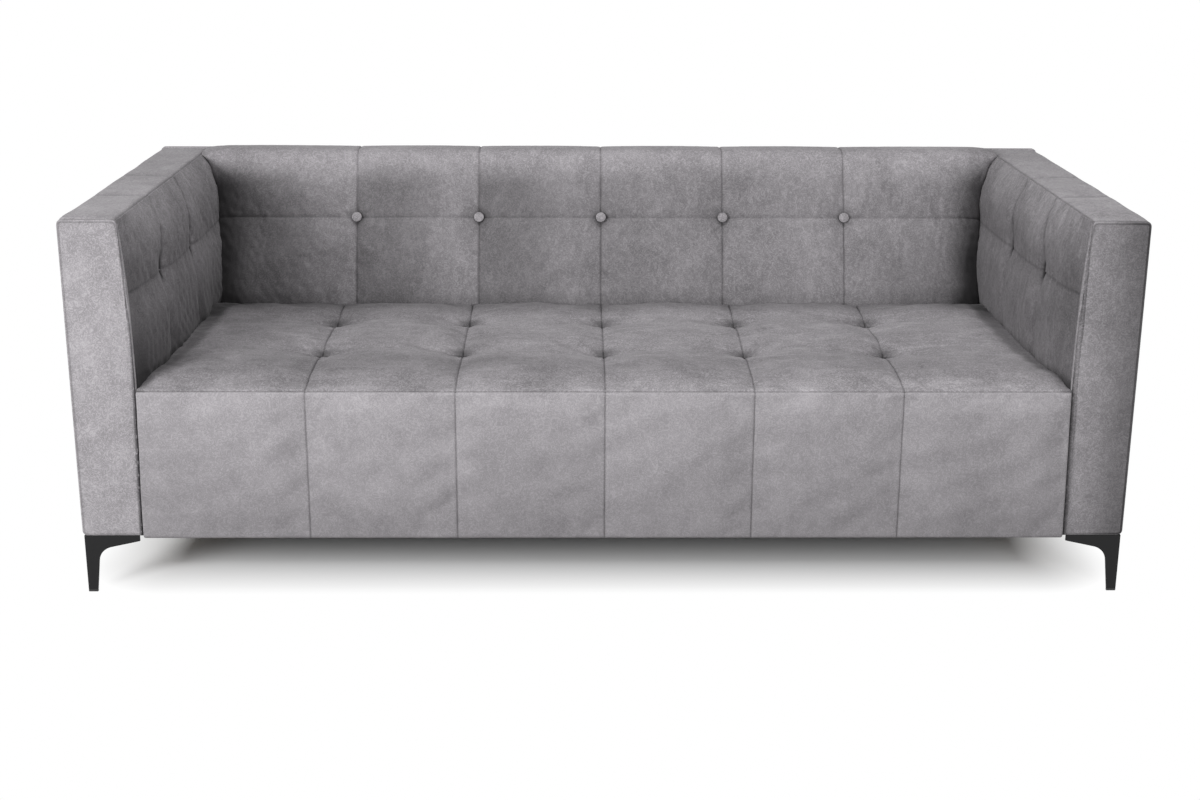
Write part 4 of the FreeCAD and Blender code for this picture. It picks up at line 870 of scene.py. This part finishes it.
def noise(tree, place, scale, detail, roughness, distortion):
    """Cloudy noise over the place, between 0 and 1."""
    inputs = {"Vector": place, "Scale": scale, "Detail": detail, "Roughness": roughness,
              "Distortion": distortion}
    return node(tree, "ShaderNodeTexNoise", inputs).outputs["Fac"]


def sum_of(tree, parts):
    """Adds outputs, each times its share."""
    total = 0
    for output, share in parts:
        total = plain_math(tree, "MULTIPLY_ADD", output, share, total)
    return total


def ranged(tree, value, low, high, to_low, to_high):
    """Carries a value from one range over to another, and holds it at the ends."""
    inputs = {"Value": value, "From Min": low, "From Max": high, "To Min": to_low, "To Max": to_high}
    return node(tree, "ShaderNodeMapRange", inputs).outputs["Result"]


def blended(tree, factor, first, second):
    """Colour between two others."""
    made = node(tree, "ShaderNodeMix", {"Factor": factor, "A": first, "B": second}, data_type="RGBA")
    return next(output for output in made.outputs if output.type == "RGBA")


def finish_group(name, inputs):
    """Empty node group with the given inputs, and the colour, roughness and height that a finish puts out."""
    group = bpy.data.node_groups.new(name, "ShaderNodeTree")
    for label, (kind, value) in inputs.items():
        made = group.interface.new_socket(name=label, in_out="INPUT", socket_type="NodeSocket" + kind)
        if value is not None:
            made.default_value = value
    for label, kind in (("Colour", "Color"), ("Roughness", "Float"), ("Height", "Float")):
        group.interface.new_socket(name=label, in_out="OUTPUT", socket_type="NodeSocket" + kind)
    return group, node(group, "NodeGroupInput").outputs


def nap_group():
    """Velvet pile: patches that lie this way or that, streaks along the brushing, thin curls, and darkening
    that stands for compressed folds and painted shade.
    """
    group, given = finish_group("velvet_nap", {
        "Place": ("Vector", None), "Brushing": ("Vector", (4, 40, 40)), "Streak Share": ("Float", 0.3),
        "Pressed And Shade": ("Float", 0.0), "Dark Pile": ("Color", (0.2, 0.2, 0.2, 1)),
        "Light Pile": ("Color", (0.4, 0.4, 0.4, 1)), "Folded And Shaded Pile": ("Color", (0.05, 0.05, 0.05, 1))})
    place = given["Place"]
    streak_place = vector_math(group, "MULTIPLY", place, given["Brushing"])
    broad = noise(group, place, 4.5, 2, 0.5, 0.4)
    patches = noise(group, place, 15, 4, 0.6, 0.8)
    streaks = noise(group, streak_place, 1, 1, 0.5, 1.6)
    winding = noise(group, place, 85, 1, 0.5, 2.5)
    flecks = noise(group, place, 420, 1, 0.6, 1.0)
    off_line = plain_math(group, "ABSOLUTE", ranged(group, winding, 0, 1, -0.5, 0.5))
    curls = ranged(group, off_line, 0.0, 0.085, 1.0, 0.0)
    brushed = ranged(group, streaks, 0.50, 0.78, -0.15, 0.85)
    weighed = plain_math(group, "MULTIPLY", brushed, given["Streak Share"])
    mottle = sum_of(group, [(broad, 0.40), (patches, 0.42), (curls, 0.30), (flecks, 0.19), (weighed, 1.0)])
    lie = ranged(group, mottle, 0.33, 0.87, 0.0, 1.0)
    pile = blended(group, lie, given["Dark Pile"], given["Light Pile"])
    node(group, "NodeGroupOutput", {
        "Colour": blended(group, given["Pressed And Shade"], pile, given["Folded And Shaded Pile"]),
        "Roughness": ranged(group, lie, 0, 1, 0.95, 0.75),
        "Height": sum_of(group, [(curls, 0.30), (flecks, 0.24), (weighed, 0.15)])})
    return group


def grain_group():
    """Grain of wood, board, foam, felt, plastic or metal: stretched noise between two colours."""
    group, given = finish_group("material_grain", {
        "Place": ("Vector", None), "Stretch": ("Vector", (1, 1, 1)), "Dark": ("Color", (0.2, 0.2, 0.2, 1)),
        "Light": ("Color", (0.4, 0.4, 0.4, 1)), "Roughness Low": ("Float", 0.4),
        "Roughness High": ("Float", 0.6)})
    place = vector_math(group, "MULTIPLY", given["Place"], given["Stretch"])
    coarse = noise(group, place, 1, 4, 0.6, 0.5)
    fine = noise(group, place, 6, 3, 0.6, 0.3)
    mottle = ranged(group, sum_of(group, [(coarse, 0.65), (fine, 0.35)]), 0.35, 0.65, 0, 1)
    node(group, "NodeGroupOutput", {
        "Colour": blended(group, mottle, given["Dark"], given["Light"]),
        "Roughness": ranged(group, mottle, 0, 1, given["Roughness Low"], given["Roughness High"]),
        "Height": sum_of(group, [(coarse, 0.4), (fine, 0.6)])})
    return group


def new_material(name):
    """New material, with its tree and its shader."""
    material = bpy.data.materials.new(name)
    material.use_nodes = True
    return material, material.node_tree, material.node_tree.nodes["Principled BSDF"]


def finish_material(name, group, values, bump, distance, shine, marked=False):
    """Material from one of the shared groups, with its bump, and constants set on the shader itself.

    A marked one darkens where the points of the mesh say so: where the pile is compressed and where shade is
    painted on."""
    material, tree, shader = new_material(name)
    inputs = {"Place": node(tree, "ShaderNodeTexCoord").outputs["Object"], **values}
    if marked:
        inputs["Pressed And Shade"] = node(tree, "ShaderNodeAttribute", attribute_name="pressed_and_shade").outputs["Fac"]
    effect = node(tree, "ShaderNodeGroup", inputs, node_tree=group).outputs
    raised = node(tree, "ShaderNodeBump", {"Strength": bump, "Distance": distance, "Height": effect["Height"]})
    fill(tree, shader, {"Base Color": effect["Colour"], "Roughness": effect["Roughness"],
                        "Normal": raised.outputs["Normal"], **shine})
    return material


NAP = nap_group()
GRAIN = grain_group()
PILE_TINT = (1.0, 0.955, 1.0)
# Colour that compressed pile and painted shade darken the velvet towards
FOLDED_AND_SHADED_PILE = 0.025
PILE_BUMP, PILE_DEPTH = 0.30, 0.0010
PILE_SHINE = {"Sheen Weight": 0.12, "Sheen Roughness": 0.40, "Sheen Tint": (0.9, 0.88, 0.9, 1),
              "Specular IOR Level": 0.15}


def pile_colour(level):
    """Grey of the velvet at a level of light, with its faint tint."""
    return (*(level * share for share in PILE_TINT), 1)


def velvet(name, brushing, streaks, dark, light):
    """Velvet with its own brushing, share of streaks, and darkest and lightest pile."""
    values = {"Brushing": brushing, "Streak Share": streaks, "Dark Pile": pile_colour(dark),
              "Light Pile": pile_colour(light), "Folded And Shaded Pile": pile_colour(FOLDED_AND_SHADED_PILE)}
    return finish_material(name, NAP, values, PILE_BUMP, PILE_DEPTH, PILE_SHINE, marked=True)


def three(value):
    """A single number three times over, or the three as they are."""
    return value if isinstance(value, tuple) else (value,) * 3


def grained(name, stretch, dark, light, rough, bump, distance, **shine):
    """Grained finish between two colours and two roughnesses."""
    values = {"Stretch": three(stretch), "Dark": (*three(dark), 1), "Light": (*three(light), 1),
              "Roughness Low": rough[0], "Roughness High": rough[1]}
    return finish_material(name, GRAIN, values, bump, distance, shine)


# The same velvet on every piece: the darkest and lightest pile of each are set lighter or darker as painted
# light and shade, for how the lamps fall on that piece.
SEAT_VELVET = velvet("seat_velvet", (6, 30, 22), 0.11, 0.165, 0.42)
SEAT_FRONT_VELVET = velvet("seat_front_velvet", (30, 24, 24), 0.06, 0.238, 0.385)
BACK_VELVET = velvet("back_velvet", (40, 40, 16), 0.12, 0.17, 0.38)
ARM_VELVET = velvet("arm_velvet", (40, 50, 14), 0.17, 0.145, 0.37)
PANEL_VELVET = velvet("panel_velvet", (40, 24, 24), 0.10, 0.19, 0.40)

# Finish of each slot of the record
FINISHES = {
    "velvet": PANEL_VELVET,
    "foam": grained("cut_foam", 500, (0.62, 0.56, 0.40), (0.78, 0.73, 0.58), (0.85, 0.95), 0.5, 0.001),
    "felt": grained("pressed_felt", 220, (0.20, 0.19, 0.18), (0.36, 0.34, 0.31), (0.9, 0.98), 0.6, 0.001),
    "webbing": grained("woven_webbing", (700, 700, 90), (0.015, 0.015, 0.017), (0.05, 0.05, 0.055),
                       (0.75, 0.9), 0.6, 0.0008),
    "cord": grained("twisted_cord", 900, (0.12, 0.115, 0.12), (0.26, 0.25, 0.26), (0.8, 0.95), 0.6, 0.0005),
    "dust_cloth": grained("dust_cloth_weave", (900, 900, 50), (0.012, 0.012, 0.014), (0.03, 0.03, 0.033),
                          (0.85, 0.95), 0.5, 0.0004),
    "leg_metal": grained("black_leg_paint", 900, (0.006, 0.006, 0.0065), (0.010, 0.010, 0.0105),
                         (0.42, 0.52), 0.12, 0.0003, **{"Specular IOR Level": 0.22}),
    "glide_plastic": grained("glide_plastic", 600, 0.010, 0.018, (0.5, 0.62), 0.15, 0.0003),
    "clip_plastic": grained("clip_plastic", 600, 0.04, 0.06, (0.45, 0.6), 0.15, 0.0003),
    "steel": grained("zinc_steel", (60, 900, 900), (0.42, 0.42, 0.43), 0.58, (0.28, 0.42), 0.1, 0.0003,
                     Metallic=1.0),
    "hardboard": grained("hardboard", 400, (0.16, 0.10, 0.06), (0.27, 0.18, 0.11), (0.7, 0.85), 0.3, 0.0005),
    "frame_wood": grained("pale_frame_wood", (4, 90, 90), (0.42, 0.28, 0.15), (0.62, 0.45, 0.27),
                          (0.55, 0.75), 0.25, 0.0006),
}


# Dressing the frame

CORE_STEP = 0.03
FACING_CORNER = 0.010


def dress(piece, material, nodes, body="frame"):
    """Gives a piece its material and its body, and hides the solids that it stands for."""
    piece.data.materials.append(material)
    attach(piece, body)
    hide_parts(*nodes)
    return piece


def box_block(name, solid, radius):
    """Block over the whole box of a solid."""
    low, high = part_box(solid)
    outline = [(high.y, low.z), (low.y, low.z), (low.y, high.z), (high.y, high.z)]
    return block(name, outline, high.x, radius, CORE_STEP)


for row in frame["record"]["subparts"]:
    solid = frame["nodes"][row["node"]]
    solid.data.materials.clear()
    solid.data.materials.append(FINISHES[row["material_slot"]])

seat = dress(seat_cushion(), SEAT_VELVET, ["seat_cover"])
seat.data.materials.append(SEAT_FRONT_VELVET)
dress(back_cushion(), BACK_VELVET, ["back_pad"])
# Only the right arm's front panel gets painted shade
for side_name, side, seed, side_shade in (("right", 1, RIGHT_SEED, 0.50), ("left", -1, LEFT_SEED, 0.0)):
    pad = arm_cushion(f"arm_{side_name}_cushion", side, seed)
    dress(pad, ARM_VELVET, [f"arm_{side_name}_inner_pad"])
    x_span = sorted((side * ARM_INSIDE, side * ARM_OUTSIDE))
    front = facing(f"arm_{side_name}_front_facing", x_span, (ARM_FOOT, ARM_TOP), PANEL_FACE, PANEL_REAR,
                   FACING_CORNER, 0.004, 0.0012, seed + 5, side, side_shade)
    dress(front, PANEL_VELVET, [f"arm_{side_name}_front_panel"])
    cover = arm_outer_fabric(f"arm_{side_name}_outer_fabric", side, seed + 9)
    dress(cover, PANEL_VELVET, [f"arm_{side_name}_outer_cover"])
rear = facing("back_outer_fabric", (-ARM_OUTSIDE, ARM_OUTSIDE), (ARM_FOOT, ARM_TOP + 0.004), BACK_FACE,
              COVER_REAR, FACING_CORNER, 0.005, 0.0015, 61)
dress(rear, PANEL_VELVET, ["back_outer_panel"])
dress(covered_buttons(), BACK_VELVET, ["back_buttons"])

seat_core = box_block("seat_foam_core", "seat_foam", 0.006)
dress(seat_core, FINISHES["foam"], ["seat_foam"])
felt = box_block("spring_felt_pad", "spring_felt", 0.0015)
dress(felt, FINISHES["felt"], ["spring_felt"])
back_core = block("back_foam_core", [(BACK_REAR, 0.310), (0.236, 0.310), (0.236, 0.430), (0.310, 0.643),
                                     (0.343, 0.735), (BACK_REAR, 0.735)], 0.858, 0.005, CORE_STEP)
dress(back_core, FINISHES["foam"], ["back_foam"])
dress(webbing_straps(), FINISHES["webbing"], ["back_webbing"])
cloth, cloth_size, cloth_area = dust_cloth()
dress(cloth, FINISHES["dust_cloth"], ["dust_cover"])


# Floor, light and camera

FLOOR_REACH = 30
SHADOW_MIDDLE = (0, 0.12, 0)
SHADOW_HALF = (0.89, 0.395, 1)
SHADOW_FADE = 0.185
FLOOR_BOUNCE, FLOOR_SEEN = 0.35, 0.82
WORLD_LIGHT = 0.08
# Name, place, point aimed at, width, height and watts of each lamp
LAMPS = (("left_lamp", (-2.60, -3.00, 1.50), (0.10, -0.2, 0.40), 1.1, 0.9, 116),
         ("right_fill", (1.50, -3.60, 1.50), (0.0, -0.2, 0.40), 1.6, 1.0, 58),
         ("ceiling", (0.3, -0.5, 3.4), (0.2, -0.1, 0.4), 2.6, 1.6, 56))
SENSOR = 36
FOCAL_SHARE = 1751 / 1200
CAMERA_PLACE = (-0.059, -3.751, 1.409)
CAMERA_TURN, CAMERA_DOWN, CAMERA_ROLL = (math.radians(angle) for angle in (-0.84, 16.85, 0.27))


def camera_white(tree):
    """Share of 1 for what the camera sees straight, mirrored or through glass."""
    seen = node(tree, "ShaderNodeLightPath").outputs
    rays = ("Is Camera Ray", "Is Glossy Ray", "Is Transmission Ray")
    return plain_math(tree, "MINIMUM", sum_of(tree, [(seen[name], 1) for name in rays]), 1)


def studio_floor():
    """Pale floor that keeps the shadow; away from the sofa the camera sees it plain white."""
    mesh = bpy.data.meshes.new("studio_floor")
    corners = [(FLOOR_REACH * x, FLOOR_REACH * y, 0) for x, y in ((-1, -1), (1, -1), (1, 1), (-1, 1))]
    mesh.from_pydata(corners, [], [(0, 1, 2, 3)])
    floor = put("studio_floor", mesh)
    material, tree, shader = new_material("pale_floor")
    shade = ranged(tree, camera_white(tree), 0, 1, FLOOR_BOUNCE, FLOOR_SEEN)
    fill(tree, shader, {"Base Color": shade, "Roughness": 1.0, "Specular IOR Level": 0.0})
    place = node(tree, "ShaderNodeTexCoord").outputs["Object"]
    under = vector_math(tree, "SUBTRACT", place, SHADOW_MIDDLE)
    mirrored = vector_math(tree, "ABSOLUTE", under)
    outside = vector_math(tree, "SUBTRACT", mirrored, SHADOW_HALF)
    ahead = vector_math(tree, "MAXIMUM", outside)
    reach = vector_math(tree, "LENGTH", ahead)
    far = ranged(tree, reach, 0.0, SHADOW_FADE, 0, 1)
    seen = plain_math(tree, "MULTIPLY", far, camera_white(tree))
    white = node(tree, "ShaderNodeEmission").outputs[0]
    mixed = node(tree, "ShaderNodeMixShader", {0: seen, 1: shader.outputs[0], 2: white})
    fill(tree, tree.nodes["Material Output"], {"Surface": mixed.outputs[0]})
    mesh.materials.append(material)


def studio_world():
    """Faint even light from all round, which the camera sees as white."""
    world = bpy.data.worlds.new("studio")
    bpy.context.scene.world = world
    world.use_nodes = True
    tree = world.node_tree
    strength = ranged(tree, camera_white(tree), 0, 1, WORLD_LIGHT, 1.0)
    fill(tree, tree.nodes["Background"], {"Color": (1, 1, 1, 1), "Strength": strength})


def softbox(name, place, target, width, height, power):
    """Area lamp at a place, turned to its target."""
    light = bpy.data.lights.new(name, "AREA")
    light.shape = "RECTANGLE"
    light.size = width
    light.size_y = height
    light.energy = power
    lamp = put(name, light)
    lamp.visible_camera = False
    lamp.location = place
    aim = np.array(target) - np.array(place)
    tilt = math.atan2(math.hypot(aim[0], aim[1]), -aim[2])
    lamp.rotation_euler = (tilt, 0, math.atan2(aim[1], aim[0]) - math.pi / 2)


def camera():
    """Stands in front of the sofa's middle, above the arms, and looks down and a touch to the right."""
    view = bpy.data.cameras.new("photo_view")
    view.sensor_width = SENSOR
    view.sensor_fit = "HORIZONTAL"
    view.lens = SENSOR * FOCAL_SHARE
    stand = put("photo_view", view)
    stand.location = CAMERA_PLACE
    turned = Matrix.Rotation(CAMERA_TURN, 4, "Z") @ Matrix.Rotation(math.pi / 2 - CAMERA_DOWN, 4, "X")
    stand.rotation_euler = (turned @ Matrix.Rotation(CAMERA_ROLL, 4, "Z")).to_euler()
    bpy.context.scene.camera = stand


studio_floor()
studio_world()
for lamp in LAMPS:
    softbox(*lamp)
camera()
bpy.context.scene.view_settings.view_transform = "Standard"
